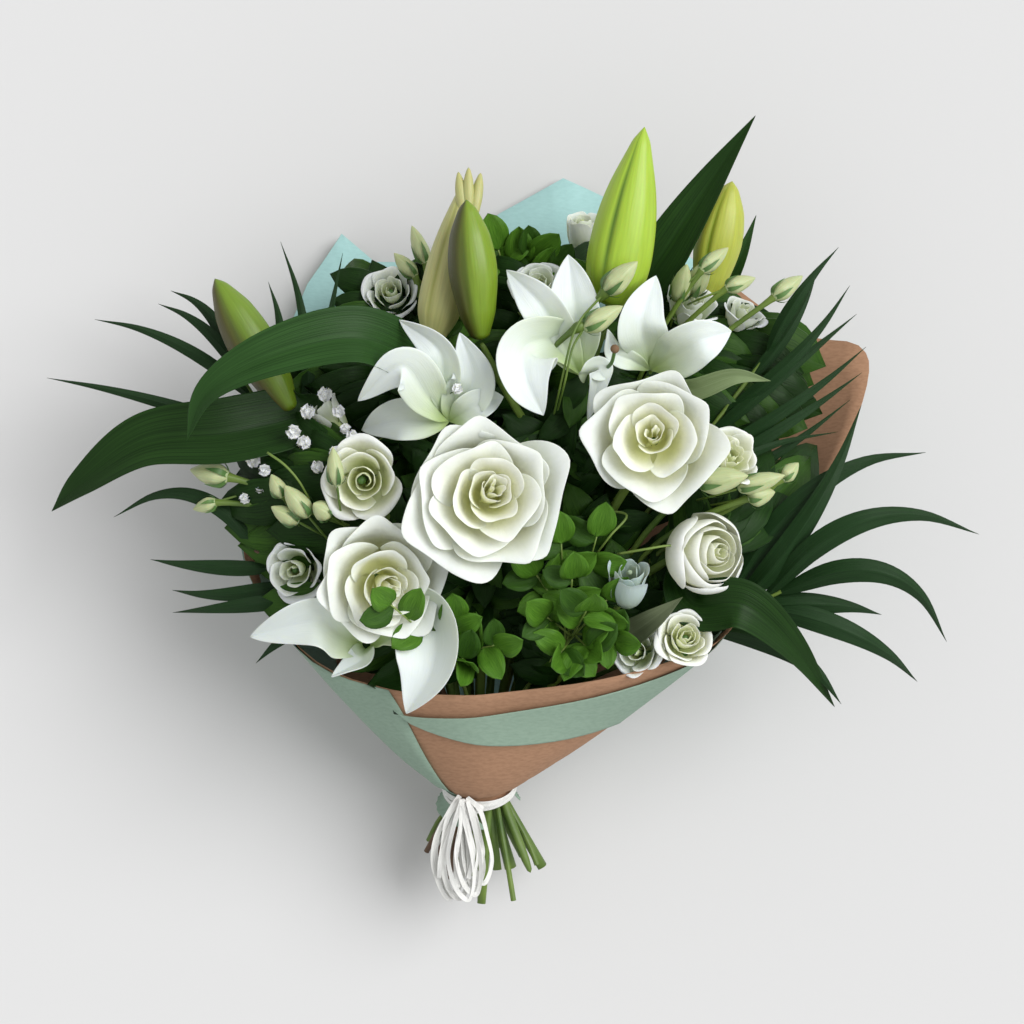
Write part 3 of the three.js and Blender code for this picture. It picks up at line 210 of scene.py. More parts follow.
def mixed(tree, part, first, second, blend="MIX"):
    """first and second, colours or sockets, mixed by part, a number or a socket."""
    node = tree.nodes.new("ShaderNodeMix")
    node.data_type = "RGBA"
    node.blend_type = blend
    for socket, value in ((node.inputs[0], part), (node.inputs[6], first), (node.inputs[7], second)):
        if isinstance(value, bpy.types.NodeSocket):
            tree.links.new(value, socket)
        else:
            socket.default_value = (*value, 1) if isinstance(value, tuple) else value
    return node.outputs[2]


def paper_material(name, pale, dark):
    """Uncoated paper: fine fibres in two close tones, with a faint tooth."""
    material, tree, shader = new_material(name, 0.85)
    shader.inputs["Specular IOR Level"].default_value = 0.25
    fibres = noise(tree, 260, 5, (1, 3, 1))
    clouds = noise(tree, 14, 2)
    tone = ramp(tree, fibres, [(0.3, dark), (0.62, pale)])
    shade = ramp(tree, clouds, [(0.3, (0.93, 0.93, 0.93)), (0.7, (1, 1, 1))])
    paint(tree, shader, mixed(tree, 1.0, tone, shade, "MULTIPLY"))
    bump(tree, shader, fibres, 0.0002, 0.5)
    return material


kraft = paper_material("kraft paper", (0.395, 0.225, 0.134), (0.324, 0.182, 0.107))
sage = paper_material("sage paper", (0.28, 0.387, 0.304), (0.245, 0.344, 0.269))
# Painted light: the sage paper again, painted lighter and bluer as it looks where light falls on it, for the
# sage sheet's other face, which shows at its back corners.
sage_painted_lit = paper_material("aqua paper", (0.411, 0.656, 0.64), (0.371, 0.608, 0.593))


def around(values, column):
    """A smooth closed curve through the values, at a place between two of them."""
    low = math.floor(column)
    t = column - low
    p, q, r, s = (values[(low + k) % len(values)] for k in (-1, 0, 1, 2))
    return 0.5 * (2 * q + (r - p) * t + (2 * p - 5 * q + 4 * r - s) * t * t
                  + (3 * q - p - 3 * r + s) * t ** 3)


def rim_point(column):
    """The rim is drawn out smoothly at the front, and runs straight from corner to corner behind."""
    low = math.floor(column)
    if 8 <= column % len(RIM) < 17:
        return RIM[low % len(RIM)].lerp(RIM[(low + 1) % len(RIM)], column - low)
    return around(RIM, column)


def paper_point(column, share, lift):
    """A point on the cone: column counts round the rim, share is 0 at the neck and 1 at the rim."""
    outward = around(OUTWARDS, column).normalized()
    crumple = CRUMPLE * math.sin(2.3 * column + 5 * share) * math.sin(1.1 * column - 7 * share)
    pleats = 0.5 * math.sin(2 * math.pi * PLEATS * column) * (1 - max(0, share)) ** 3
    outward_by = lift + crumple * max(0, share) + pleats
    if share <= 0:
        height = NECK_TOP * (1 + share)
        flare = max(0, -height) / TAIL
        return TIE + AXIS * height + outward * (NECK_RADIUS + TAIL_FLARE * flare * flare + outward_by)
    neck = TIE + AXIS * NECK_TOP + outward * NECK_RADIUS
    down = max(0, -outward.dot(FRONT))
    belly = (BULGE + BACK_BULGE * down ** 1.5) * math.sin(math.pi * share ** 0.6)
    return neck.lerp(rim_point(column), share) + outward * (belly + outward_by)


def paper_sheet(name, first, last, lean, layer, edge, materials, slot, *nodes):
    """A sheet over columns first to last, lean more at the neck, between the shares from edge."""
    def place(u, v):
        column = first + (v + 1) / 2 * (last + lean * (1 - u) - first)
        low, high = edge(column)
        point = paper_point(column, low + u * (high - low), layer * PAPER_STEP)
        point.z = max(point.z, PAPER_THICK + max(0, 1 - layer) * PAPER_STEP)
        return point
    sheet = joined(name, [shaped_grid(PAPER_ROWS, 4 * (last - first), place)])
    for material in materials:
        sheet.data.materials.append(material)
    modify(sheet, "SOLIDIFY", thickness=PAPER_THICK * MM, offset=0,
           material_offset=len(materials) - 1)
    smooth(sheet, 0)
    belongs(sheet, slot, *nodes)


def sage_edge(column):
    return -1 - TAIL / NECK_TOP, 1 - 0.02 * min(1, max(0, 9.5 - column))


paper_sheet("kraft_sheet", -6, 9, 0, 0, lambda column: (-0.9, 1), [kraft],
            "paper_kraft", "paper_kraft")
# The sage sheet's other face takes the sage paper painted as lit.
paper_sheet("sage_sheet", 4, 21, 1.8, 1, sage_edge, [sage, sage_painted_lit],
            "paper_sage", "paper_sage_back")


def band_edge(column):
    share = (column + 2) / 6
    return 0.84 - 0.44 * math.sqrt(max(0, share)), 0.87 + 0.12 * (share - 0.5)


paper_sheet("sage_band", -2, 4, 0, 2.1, band_edge, [sage], "paper_sage", "paper_sage_band")
paper_sheet("sage_lining", -5, 4, 0, -1.2, lambda column: (0.45, 0.93), [sage], "paper_sage")

# ---- Stems ----------------------------------------------------------------------------------
# Thirteen cut flower stems, some of them forked, squeezed together at the tie and fanned below it.
# Each is the solid's own route, rounded, with a clean slanted cut at its foot.
STEMS = [name for name in sorted(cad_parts) if name.startswith("stem_")]
BROWN_STEMS = ("stem_rose_left", "stem_lily_low")
# Cut faces lie at least this far below the tie, and the rounded stems are grown by this, in metres.
CUT_BELOW = 0.035
STEM_GROWTH = 0.0007


def plant_material(name, dark, light, roughness=0.5, scale=30):
    """Skin of a stem or stalk: long streaks between two colours, slightly waxy."""
    stretch = (1, 1, 0.3)
    material, tree, shader = new_material(name, roughness)
    streaks = noise(tree, scale, 4, stretch)
    paint(tree, shader, ramp(tree, streaks, [(0.3, dark), (0.7, light)]))
    bump(tree, shader, noise(tree, 400, 3, stretch), 0.0002, 0.5)
    return material


stem_green = plant_material("green stem", (0.047, 0.103, 0.012), (0.158, 0.237, 0.036))
stem_brown = plant_material("brown stem", (0.055, 0.028, 0.014), (0.158, 0.087, 0.043))
cut_face = plant_material("cut stem", (0.356, 0.332, 0.174), (0.49, 0.474, 0.284), 0.7, 200)


def cad_copy(node, name):
    """A merged copy of a node's mesh, as a piece of its own."""
    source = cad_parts[node]
    obj = bpy.data.objects.new(name, source.data.copy())
    bpy.context.scene.collection.objects.link(obj)
    pick(obj)
    bpy.ops.object.mode_set(mode="EDIT")
    bpy.ops.mesh.select_all(action="SELECT")
    bpy.ops.mesh.remove_doubles(threshold=0.00002)
    bpy.ops.object.mode_set(mode="OBJECT")
    obj.data.materials.clear()
    return obj


def keep_cut_crisp(obj):
    """Creases the rim of the cut face below the tie, and gives it the cut's own material."""
    mesh = obj.data
    crease = mesh.attributes.new("crease_edge", "FLOAT", "EDGE")
    tie = TIE * MM
    for face in mesh.polygons:
        height = (face.center - tie).dot(AXIS)
        if height < -CUT_BELOW and face.normal.dot(AXIS) < -0.8:
            face.material_index = 1
            for index in face.loop_indices:
                crease.data[mesh.loops[index].edge_index].value = 1.0


for node in STEMS:
    piece = cad_copy(node, node + "_round")
    piece.data.materials.append(stem_brown if node in BROWN_STEMS else stem_green)
    piece.data.materials.append(cut_face)
    keep_cut_crisp(piece)
    smooth(piece, 2)
    modify(piece, "DISPLACE", strength=STEM_GROWTH, mid_level=0)
    belongs(piece, "stem_brown" if node in BROWN_STEMS else "stem_green", node)

# ---- Raffia tie -----------------------------------------------------------------------------
# White paper raffia, a flat strand about 3 mm wide, wound round the neck of the paper and tied in
# a loose bow at the front, with two long loops and cut ends hanging over the stems.
RAFFIA_LINES = [
    [(-28, -168, 80), (-38, -178, 80), (-49, -194, 74), (-50, -212, 67), (-38, -231, 63),
     (-28, -217, 67), (-27, -192, 75), (-27, -172, 81)],
    [(-22, -169, 81), (-15, -178, 80), (-9, -193, 75), (-5, -210, 70), (-12, -223, 68),
     (-21, -208, 71), (-23, -188, 77), (-24, -172, 81)],
    [(-25, -170, 82), (-33, -184, 79), (-41, -204, 72), (-36, -224, 67), (-25, -229, 66),
     (-19, -212, 70), (-20, -190, 77), (-24, -172, 82)],
    [(-26, -170, 84), (-30, -186, 82), (-34, -204, 77), (-28, -222, 72), (-17, -229, 69),
     (-13, -214, 72), (-17, -192, 79), (-24, -172, 84)],
    [(-26, -170, 82), (-20, -186, 80), (-16, -202, 75), (-20, -218, 71)],
    [(-27, -170, 82), (-38, -182, 79), (-43, -200, 74), (-45, -218, 69)],
    [(-24, -170, 83), (-24, -186, 81), (-28, -204, 76), (-26, -222, 71)],
    [(-23, -170, 82), (-13, -182, 79), (-8, -200, 74), (-10, -213, 70)],
]
RAFFIA_WIDTH = 3.2
RAFFIA_THICK = 0.2
RING_RADIUS = NECK_RADIUS + PAPER_STEP + 1.6

raffia, tree, shader = new_material("white raffia", 0.6)
strands = noise(tree, 6, 4, (14, 1, 1), on="UV")
paint(tree, shader, ramp(tree, strands, [(0.25, (0.68, 0.69, 0.66)), (0.6, (0.90, 0.90, 0.87))]))
bump(tree, shader, strands, 0.0004, 0.8)


def spline(points, t):
    """A smooth open curve through the points, t from 0 to 1."""
    position = min(max(t, 0), 0.9999) * (len(points) - 1)
    low = int(position)
    t = position - low
    q, r = points[low], points[low + 1]
    p = points[low - 1] if low > 0 else 2 * q - r
    s = points[low + 2] if low + 2 < len(points) else 2 * r - q
    return 0.5 * (2 * q + (r - p) * t + (2 * p - 5 * q + 4 * r - s) * t * t
                  + (3 * q - p - 3 * r + s) * t ** 3)


def ways_at(points, u, face):
    """The way across the curve at u, in the plane that faces face, and the way up from it."""
    along = (spline(points, u + 0.02) - spline(points, u - 0.02)).normalized()
    across = along.cross(face).normalized()
    return across, across.cross(along)


def ribbon(line, number):
    aside = 2.6 * math.sin(5 * number)
    points = [Vector((-28 + 0.72 * (x + 24) + aside * (k > 0), y + 0.7 * aside * (k > 0), z))
              for k, (x, y, z) in enumerate(line)]

    def place(u, v):
        twist = 0.9 * math.sin(7 * u + 2 * number)
        face = (Vector((0.2, -0.1, 1)) + SIDE * twist).normalized()
        across = ways_at(points, u, face)[0]
        fold = 0.10 * RAFFIA_WIDTH * v * v * face
        return spline(points, u) + across * v * RAFFIA_WIDTH / 2 + fold
    return shaped_grid(14 * (len(points) - 1), 2, place)


def winding(lowest, tilt):
    """One turn round the neck."""
    def place(u, v):
        angle = 2 * math.pi * u
        height = lowest + tilt * math.sin(angle + lowest) + v * RAFFIA_WIDTH / 2
        radius = RING_RADIUS + 0.4 * math.sin(3 * angle + lowest) + 0.3 * (1 - v * v)
        return (TIE + AXIS * height + SIDE * radius * math.cos(angle)
                + FRONT * radius * math.sin(angle))
    return shaped_grid(60, 2, place)


def knot():
    obj = added(bpy.ops.mesh.primitive_torus_add, major_segments=20, minor_segments=10,
                major_radius=3.4 * MM, minor_radius=2.0 * MM)
    where = TIE + AXIS * 4 + FRONT * (RING_RADIUS + 1.5) + SIDE * -4
    turn = Matrix.Rotation(0.7, 4, "X") @ Matrix.Diagonal((1.35, 0.85, 1, 1))
    obj.data.transform(Matrix.Translation(where * MM) @ turn)
    return obj


ribbons = [ribbon(line, number) for number, line in enumerate(RAFFIA_LINES + RAFFIA_LINES[:5])]
windings = [winding(lowest, tilt) for lowest, tilt in ((1.8, 0.5), (3.6, -0.7), (5.6, 0.4))]
tie = joined("raffia_bow", ribbons + windings + [knot()])
set_material([tie], raffia)
modify(tie, "SOLIDIFY", thickness=RAFFIA_THICK * MM, offset=0)
smooth(tie, 1)
belongs(tie, "raffia", "raffia_tie")

# ---- Roses ----------------------------------------------------------------------------------
# Three large white garden roses, wide open: a rolled heart of small petals that lean inwards, and
# larger ones round it, laid out flat, whose rims roll back to a point. Yellow-green shows between.
ROSES = [
    ("rose_centre", (-15, 7, 200), 93, (0, -0.05, 1), 3, (0.08, 0.09), 19),
    ("rose_right", (78, 40, 194), 82, (-0.1, 0, 1), 8, (0.02, 0.08), 14),
    ("rose_left", (-74, -40, 179), 76, (0.1, -0.1, 1), 14, (0.10, -0.05), 17),
]
# From the heart's petal to the outermost: the petal's profile in flower widths as foot height, two
# bends and a rim, each (radius, height); its half angle; how far its rim rolls back; how straight
# its rim runs from corner to corner; and how deep its colour is.
ROSE_STAGES = [
    (-0.16, (0.01, -0.14), (0.012, 0.03), (0.026, 0.056), 2.30, 0.003, 0.0, 0.30),
    (-0.22, (0.06, -0.20), (0.070, 0.03), (0.090, 0.068), 1.70, 0.003, 0.2, 0.26),
    (-0.28, (0.12, -0.25), (0.115, 0.02), (0.165, 0.064), 1.50, 0.004, 0.4, 0.18),
    (-0.34, (0.20, -0.28), (0.170, 0.01), (0.285, 0.045), 1.40, 0.006, 0.7, 0.08),
    (-0.40, (0.28, -0.36), (0.230, -0.02), (0.410, 0.010), 1.35, 0.008, 1.0, 0.04),
    (-0.47, (0.36, -0.46), (0.280, -0.05), (0.490, -0.030), 1.30, 0.010, 1.2, 0.00),
    (-0.52, (0.40, -0.54), (0.310, -0.09), (0.515, -0.070), 1.30, 0.010, 1.3, 0.00),
]
PETAL_THICK = 0.25
GOLDEN_ANGLE = 2.39996
SEPALS = 5


def petal_material(name, rim, middle, deep, roughness=0.5):
    """A petal: the rim's colour at tint 0, the heart's at 1, with faint veins and light inside."""
    material, tree, shader = new_material(name, roughness)
    shader.inputs["Subsurface Weight"].default_value = 0.3
    shader.inputs["Subsurface Scale"].default_value = 0.004
    shader.inputs["Subsurface Radius"].default_value = (1.0, 0.9, 0.5)
    shader.inputs["Specular IOR Level"].default_value = 0.3
    tint = tree.nodes.new("ShaderNodeAttribute")
    tint.attribute_name = "tint"
    colour = ramp(tree, tint.outputs["Fac"], [(0.04, rim), (0.28, middle), (0.75, deep)])
    veins = noise(tree, 5, 4, (9, 1.2, 1), on="UV")
    shade = ramp(tree, veins, [(0.3, (0.97, 0.975, 0.96)), (0.6, (1, 1, 1))])
    paint(tree, shader, mixed(tree, 1.0, colour, shade, "MULTIPLY"))
    bump(tree, shader, veins, 0.0005, 0.35)
    return material


rose_white = petal_material("rose petal", (0.90, 0.94, 0.86), (0.94, 0.95, 0.78), (0.90, 0.92, 0.46))
calyx_green = plant_material("calyx", (0.04, 0.111, 0.024), (0.111, 0.221, 0.055))


def bezier(a, b, c, d, t):
    s = 1 - t
    return a * s ** 3 + 3 * b * s * s * t + 3 * c * s * t * t + d * t ** 3


def between(first, second, part):
    """Two rows of a table, with numbers and pairs in them, blended."""
    if isinstance(first, tuple):
        return tuple(between(a, b, part) for a, b in zip(first, second))
    return first + part * (second - first)


def stage_at(stages, share):
    position = min(share, 0.9999) * (len(stages) - 1)
    low = int(position)
    return between(stages[low], stages[low + 1], position - low)


def tinted(obj, shares):
    """Keeps a share for every corner of the mesh, for a material to read."""
    obj.data.attributes.new("tint", "FLOAT", "POINT").data.foreach_set("value", shares)
    return obj


def petal(width, stage, angle, draw, ruffle, shift, rows, columns):
    """One petal of a flower whose line is +Z and whose face is at height 0."""
    foot, bend1, bend2, rim, half, roll, straight, deep = stage
    reach = 1 + draw.uniform(-0.09, 0.06)
    rise = draw.uniform(-0.012, 0.012)
    side = draw.uniform(-0.04, 0.04)
    phase = draw.uniform(0, 6.28)
    lean = draw.uniform(-0.45, 0.45)
    off = Vector((draw.uniform(-1, 1), draw.uniform(-1, 1))) * 0.014 + shift

    def place(u, v):
        s = u * (1 - 0.45 * abs(v) ** 5)
        lip = max(0, s - 0.6) / 0.4
        r = bezier(0.03, bend1[0], bend2[0], rim[0] * reach, s)
        h = bezier(foot, bend1[1], bend2[1], rim[1] + rise, s)
        r += 0.3 * roll * lip ** 2
        corner = math.cos(0.6) / math.cos(min(half * abs(v - lean), 1.2) - 0.6)
        r *= 1 + straight * lip * (corner - 0.92)
        h -= roll * lip ** 3 * (0.5 + abs(v))
        r *= 1 + 0.07 * v
        wave = math.sin(6 * v + phase) + 0.5 * math.sin(13 * v + 2 * phase)
        h += lip * (ruffle * wave + side * v * rim[0] * 2)
        r += 0.5 * ruffle * lip ** 2 * math.sin(9 * v + 3 * phase)
        turn = angle + half * v * (0.45 + 0.55 * math.sqrt(u))
        return Vector((r * math.cos(turn) + off.x * s, r * math.sin(turn) + off.y * s, h)) * width
    obj = shaped_grid(rows, columns, place)
    return tinted(obj, [min(1, deep + 0.9 * (1 - i // (columns + 1) / rows) ** 1.3)
                        for i in range((rows + 1) * (columns + 1))])


def ball(radius, centre):
    obj = added(bpy.ops.mesh.primitive_uv_sphere_add, segments=12, ring_count=8, radius=radius * MM)
    obj.data.transform(Matrix.Translation(Vector(centre) * MM))
    return obj


def calyx(width, foot):
    """The green base of a flower, with its sepals turned down."""
    pieces = [ball(0.085 * width, (0, 0, (foot + 0.05) * width))]
    for k in range(SEPALS):
        angle = 2 * math.pi * k / SEPALS

        def place(u, v):
            r = 0.06 + 0.20 * u
            h = foot + 0.06 - 0.06 * u + 0.10 * u * u
            spread = 0.055 * math.sin(math.pi * min(1, u * 0.9 + 0.08)) ** 0.8 * v
            return Vector((r * math.cos(angle) - spread * math.sin(angle),
                           r * math.sin(angle) + spread * math.cos(angle), h)) * width
        pieces.append(shaped_grid(6, 2, place))
    return pieces


def face_to(obj, centre, face):
    """Turns a flower made round +Z to its face and puts it in its place."""
    turn = Vector((0, 0, 1)).rotation_difference(Vector(face).normalized()).to_matrix().to_4x4()
    obj.data.transform(Matrix.Translation(Vector(centre) * MM) @ turn)


def bloom(node, centre, width, face, stages, count, seed, material, ruffle, shift, detail, extras):
    """A flower: its petals from the heart out, each a golden angle on from the last, and calyx."""
    draw = random.Random(seed)
    petals = []
    for number in range(count):
        stage = stage_at(stages, number / (count - 1))
        angle = number * GOLDEN_ANGLE + seed + draw.uniform(-0.2, 0.2)
        off = Vector(shift) * max(0, 1 - 1.5 * number / count)
        petals.append(petal(width, stage, angle, draw, ruffle, off, *detail))
    pieces = set_material(petals, material) + set_material(calyx(width, stages[-1][0]), calyx_green)
    obj = joined(node + "_petals", pieces + list(extras))
    face_to(obj, centre, face)
    modify(obj, "SOLIDIFY", thickness=PETAL_THICK * MM, offset=0)
    smooth(obj, 1)
    belongs(obj, "petal_white", node)


for node, centre, width, face, seed, shift, count in ROSES:
    bloom(node, centre, width, face, ROSE_STAGES, count, seed, rose_white, 0.013, shift,
          (14, 20), [])

# ---- Lisianthus -----------------------------------------------------------------------------
# White lisianthus round the roses: open ones with a small green heart, cups seen from the side and
# one still closed. Their petals are thin and ruffled.
OPEN_STAGES = [
    (-0.34, (0.06, -0.32), (0.09, 0.00), (0.05, 0.04), 1.8, 0.00, 0.0, 0.50),
    (-0.38, (0.14, -0.36), (0.17, 0.02), (0.16, 0.05), 1.4, 0.01, 0.2, 0.20),
    (-0.43, (0.30, -0.46), (0.30, 0.04), (0.38, 0.00), 1.1, 0.02, 0.5, 0.06),
    (-0.46, (0.36, -0.52), (0.34, 0.02), (0.50, -0.06), 1.1, 0.04, 0.7, 0.01),
]
CUP_STAGES = [
    (-0.90, (0.20, -0.80), (0.24, -0.20), (0.14, 0.00), 1.4, 0.00, 0.00, 0.40),
    (-0.95, (0.46, -0.95), (0.34, -0.10), (0.50, 0.02), 0.95, 0.04, 0.4, 0.10),
]
CLOSED_STAGES = [
    (-0.40, (0.03, -0.36), (0.05, 0.02), (0.04, 0.06), 2.2, 0.00, 0.00, 0.36),
    (-0.50, (0.20, -0.50), (0.24, 0.02), (0.16, 0.055), 1.8, 0.01, 0.3, 0.16),
    (-0.56, (0.38, -0.58), (0.44, 0.02), (0.32, 0.03), 1.4, 0.02, 0.6, 0.07),
    (-0.60, (0.52, -0.64), (0.58, -0.06), (0.46, -0.04), 1.2, 0.02, 0.8, 0.02),
]
# Each with its stages, number of petals, place, width, face, ruffle and the heart's shift.
LISIANTHUS = [
    ("lisianthus_left", OPEN_STAGES, 13, (-86, 18, 168), 54, (-0.1, -0.05, 1), 0.014, (0.05, 0)),
    ("lisianthus_bell", CUP_STAGES, 7, (-112, 62, 122), 24, (-0.5, 0.6, 0.2), 0.02, (0, 0)),
    ("lisianthus_low_left", OPEN_STAGES, 10, (-127, -34, 130), 42, (-0.3, -0.1, 0.9), 0.03, (0, 0)),
    ("lisianthus_right", CLOSED_STAGES, 15, (115, -23, 166), 50, (0.5, 0, 0.85), 0.008, (0.08, 0)),
    ("lisianthus_ruffled", OPEN_STAGES, 14, (125, 32, 168), 43, (0.35, 0.3, 0.85), 0.06, (0, 0)),
    ("lisianthus_rim", OPEN_STAGES, 16, (100, -71, 155), 38, (0.2, 0.3, 0.9), 0.02, (0, 0)),
    ("lisianthus_rim_low", OPEN_STAGES, 9, (70, -80, 150), 34, (-0.3, 0.1, 0.9), 0.03, (0, 0)),
    ("lisianthus_cup", CUP_STAGES, 8, (67, -32, 172), 29, (0.1, 0.7, 0.6), 0.03, (0, 0)),
    ("lisianthus_top", OPEN_STAGES, 12, (16, 134, 118), 38, (0, 0.5, 0.85), 0.025, (0, 0)),
    ("lisianthus_back", CUP_STAGES, 8, (42, 176, 62), 26, (0, 0.9, 0.4), 0.02, (0, 0)),
    ("lisianthus_top_left", OPEN_STAGES, 12, (-72, 131, 94), 40, (-0.1, 0.4, 0.9), 0.03, (0, 0)),
    ("lisianthus_back_right", OPEN_STAGES, 10, (106, 124, 115), 40, (0.3, 0.7, 0.6), 0.03, (0, 0)),
    ("lisianthus_far_right", OPEN_STAGES, 9, (137, 119, 103), 32, (0.4, 0.7, 0.5), 0.03, (0, 0)),
]
CREAMY = ("lisianthus_left", "lisianthus_right", "lisianthus_ruffled", "lisianthus_rim")
lisianthus_white = petal_material("lisianthus petal", (0.86, 0.89, 0.87), (0.82, 0.87, 0.76),
                                  (0.52, 0.62, 0.26))
lisianthus_cream = petal_material("cream lisianthus petal", (0.92, 0.94, 0.87), (0.91, 0.93, 0.72),
                                  (0.74, 0.81, 0.36))
# Painted shade: the white lisianthus petal painted blue-grey, as the cup looks in shade.
lisianthus_shaded = petal_material("shaded lisianthus petal", (0.52, 0.63, 0.65), (0.50, 0.62, 0.58),
                                 (0.36, 0.46, 0.30))

for number, (node, stages, count, centre, width, face, ruffle, shift) in enumerate(LISIANTHUS):
    skin = lisianthus_cream if node in CREAMY else lisianthus_white
    # The cup takes the petal painted with shade.
    skin = lisianthus_shaded if node == "lisianthus_cup" else skin
    knob = ball(0.05 * width, (0, 0, -0.1 * width))
    tinted(knob, [1] * len(knob.data.vertices))
    extras = set_material([knob], calyx_green if stages is OPEN_STAGES else skin)
    bloom(node, centre, width, face, stages, count, number, skin, ruffle, shift, (10, 10), extras)

# ---- Lilies ---------------------------------------------------------------------------------
# Four white lilies among the roses, each with the wide pointed tepals that show, a groove along
# every one and its tip curled back; the pistil of the middle one stands out. Each tepal is given by
# its middle, or the points of a curled one, its tip, its width and its face.
LILIES = [
    ("lily_left", (-36, 52, 140), [
        ((-42, 92, 172), (-65, 109, 165), 20, (0, -0.5, 1)),
        ((-22, 77, 162), (-30, 102, 164), 26, (0, -0.4, 1)),
        ((-63, 82, 180), (-88, 62, 160), 26, (0.4, -0.3, 1)),
        ((-67, 53, 142), (-88, 47, 128), 24, (0, 0, 1)),
        ((-18, 62, 160), (-4, 66, 152), 18, (0.2, 0, 1)),
    ]),
    ("lily_middle", (40, 78, 138), [
        ((16, 118, 168), (-4, 138, 160), 24, (0, -0.4, 1)),
        ((35, 122, 158), (32, 148, 150), 28, (0, -0.4, 1)),
        (((26, 97, 157), (8, 93, 172), (8, 75, 178)), (18, 54, 170), 34,
         ((1, -0.4, 0.5), (-0.15, 0.1, 1))),
        ((50, 80, 160), (44, 52, 142), 16, (0.4, 0, 1)),
    ]),
    ("lily_right", (80, 82, 128), [
        ((74, 110, 160), (83, 136, 150), 28, (0, -0.4, 1)),
        ((106, 97, 166), (126, 103, 158), 28, (-0.2, -0.3, 1)),
        ((58, 92, 150), (55, 103, 164), 12, (0.4, -0.5, 1)),
    ]),
    ("lily_low", (-84, -78, 128), [
        ((-114, -62, 160), (-151, -72, 146), 28, (0.2, 0, 1)),
        (((-66, -64, 148), (-46, -66, 162), (-46, -90, 166)), (-61, -115, 160), 38, (-0.3, 0.2, 1)),
        ((-88, -86, 144), (-104, -94, 146), 14, (0, 0.6, 1)),
    ]),
]
lily_white = petal_material("lily petal", (0.74, 0.80, 0.77), (0.70, 0.78, 0.66), (0.46, 0.60, 0.25))
stigma_brown = plant_material("stigma", (0.10, 0.05, 0.025), (0.20, 0.12, 0.06), 0.8)
TEPAL_THICK = 0.9
WELD_WITHIN = 0.00001


def tongue(path, width, face, rows, columns, widest=0.8, root=0.2, cup=0.3, wave=0.0, groove=0.0,
           curl=0.0, deep=0.0, phase=0.0, taper=0.85):
    """A leaf or a tepal along its path, cupped across, with waved edges and its tip curled back."""
    points = [Vector(p) for p in path]
    faces = [Vector(f).normalized() for f in (face if isinstance(face[0], tuple) else (face, face))]

    def place(u, v):
        across, up = ways_at(points, u, faces[0].lerp(faces[1], u))
        half = 0.5 * width * (math.sin(math.pi * u ** widest) ** taper + root * min(u * 8, 1 - u))
        rise = cup * v * v - groove * math.exp(-(v / 0.16) ** 2)
        rise += wave * v * v * math.sin(11 * u + phase + 1.3 * v) * min(1, 4 * (1 - u))
        bent = curl * max(0, u - 0.7) ** 2 / 0.09
        return spline(points, u) + across * half * v + up * (half * rise - bent)
    obj = shaped_grid(rows, columns, place)
    return tinted(obj, [deep * (1 - i // (columns + 1) / rows) ** 2
                        for i in range((rows + 1) * (columns + 1))])


def round_rod(points, foot_radius, top_radius, rows=24, columns=10):
    """A closed round stalk along the points."""
    points = [Vector(p) for p in points]

    def place(u, v):
        t = min(max((u * rows - 1) / (rows - 2), 0), 1)
        across, up = ways_at(points, t, Vector((0.31, 0.17, 0.94)))
        radius = 0 if u in (0, 1) else foot_radius + t * (top_radius - foot_radius)
        angle = math.pi * v
        return spline(points, t) + (across * math.cos(angle) + up * math.sin(angle)) * radius
    obj = shaped_grid(rows, columns, place)
    modify(obj, "WELD", merge_threshold=WELD_WITHIN)
    return obj


for number, (node, throat, tepals) in enumerate(LILIES):
    pieces = []
    for k, (middle, tip, width, face) in enumerate(tepals):
        if not isinstance(middle[0], tuple):
            middle = (Vector(throat).lerp(Vector(middle), 0.45) + Vector((0, 0, 5)), middle)
        path = (throat, *middle, tip)
        cup = 0.85 if node == "lily_low" else 0.35
        pieces.append(tongue(path, width, face, 26, 10, widest=1.15, root=0.1, cup=cup, wave=0.2,
                             groove=0.14, curl=1.5, deep=0.9, phase=number + k))
    set_material(pieces, lily_white)
    obj = joined(node + "_tepals", pieces)
    modify(obj, "SOLIDIFY", thickness=TEPAL_THICK * MM, offset=0)
    smooth(obj, 1)
    belongs(obj, "lily_white", node)

style = round_rod([(50, 80, 140), (56, 84, 165), (58, 91, 178)], 1.2, 1.0)
set_material([style], calyx_green)
stigma = ball(2.6, (58, 92, 179))
set_material([stigma], stigma_brown)
pistil_piece = joined("lily_pistil", [style, stigma])
smooth(pistil_piece, 0)
belongs(pistil_piece, "lily_white")

# ---- Lily buds ------------------------------------------------------------------------------
# Five plump lily buds that stand up behind the flowers, green to yellow, with a deep groove where
# each two tepals meet and a ridge along the middle of each. The palest has begun to split.
LILY_BUDS = [
    ("lily_bud_tall", (57, 118, 132), (76, 221, 148), 37,
     (0.37, 0.55, 0.04), (0.079, 0.174, 0.008), 0.4),
    ("lily_bud_middle", (-18, 98, 150), (-26, 178, 162), 28,
     (0.19, 0.3, 0.016), (0.042, 0.036, 0.005), 1.5),
    ("lily_bud_pale", (-46, 98, 128), (-25, 195, 134), 26,
     (0.49, 0.49, 0.19), (0.269, 0.284, 0.047), 2.4),
    ("lily_bud_right", (114, 124, 90), (129, 194, 104), 28,
     (0.435, 0.482, 0.063), (0.205, 0.284, 0.016), 0.9),
    ("lily_bud_left", (-128, 58, 116), (-173, 136, 118), 28,
     (0.158, 0.261, 0.016), (0.063, 0.047, 0.008), 1.1),
]
PLUMP = [(0, 0.0), (0.02, 0.36), (0.2, 0.75), (0.5, 1.0), (0.75, 0.82), (0.94, 0.35), (1, 0.0)]
DRAWN = [(0, 0.0), (0.02, 0.45), (0.16, 0.92), (0.35, 1.0), (0.62, 0.8), (0.92, 0.28), (1, 0.0)]
DRAWN_OUT = ("lily_bud_tall", "lily_bud_pale")


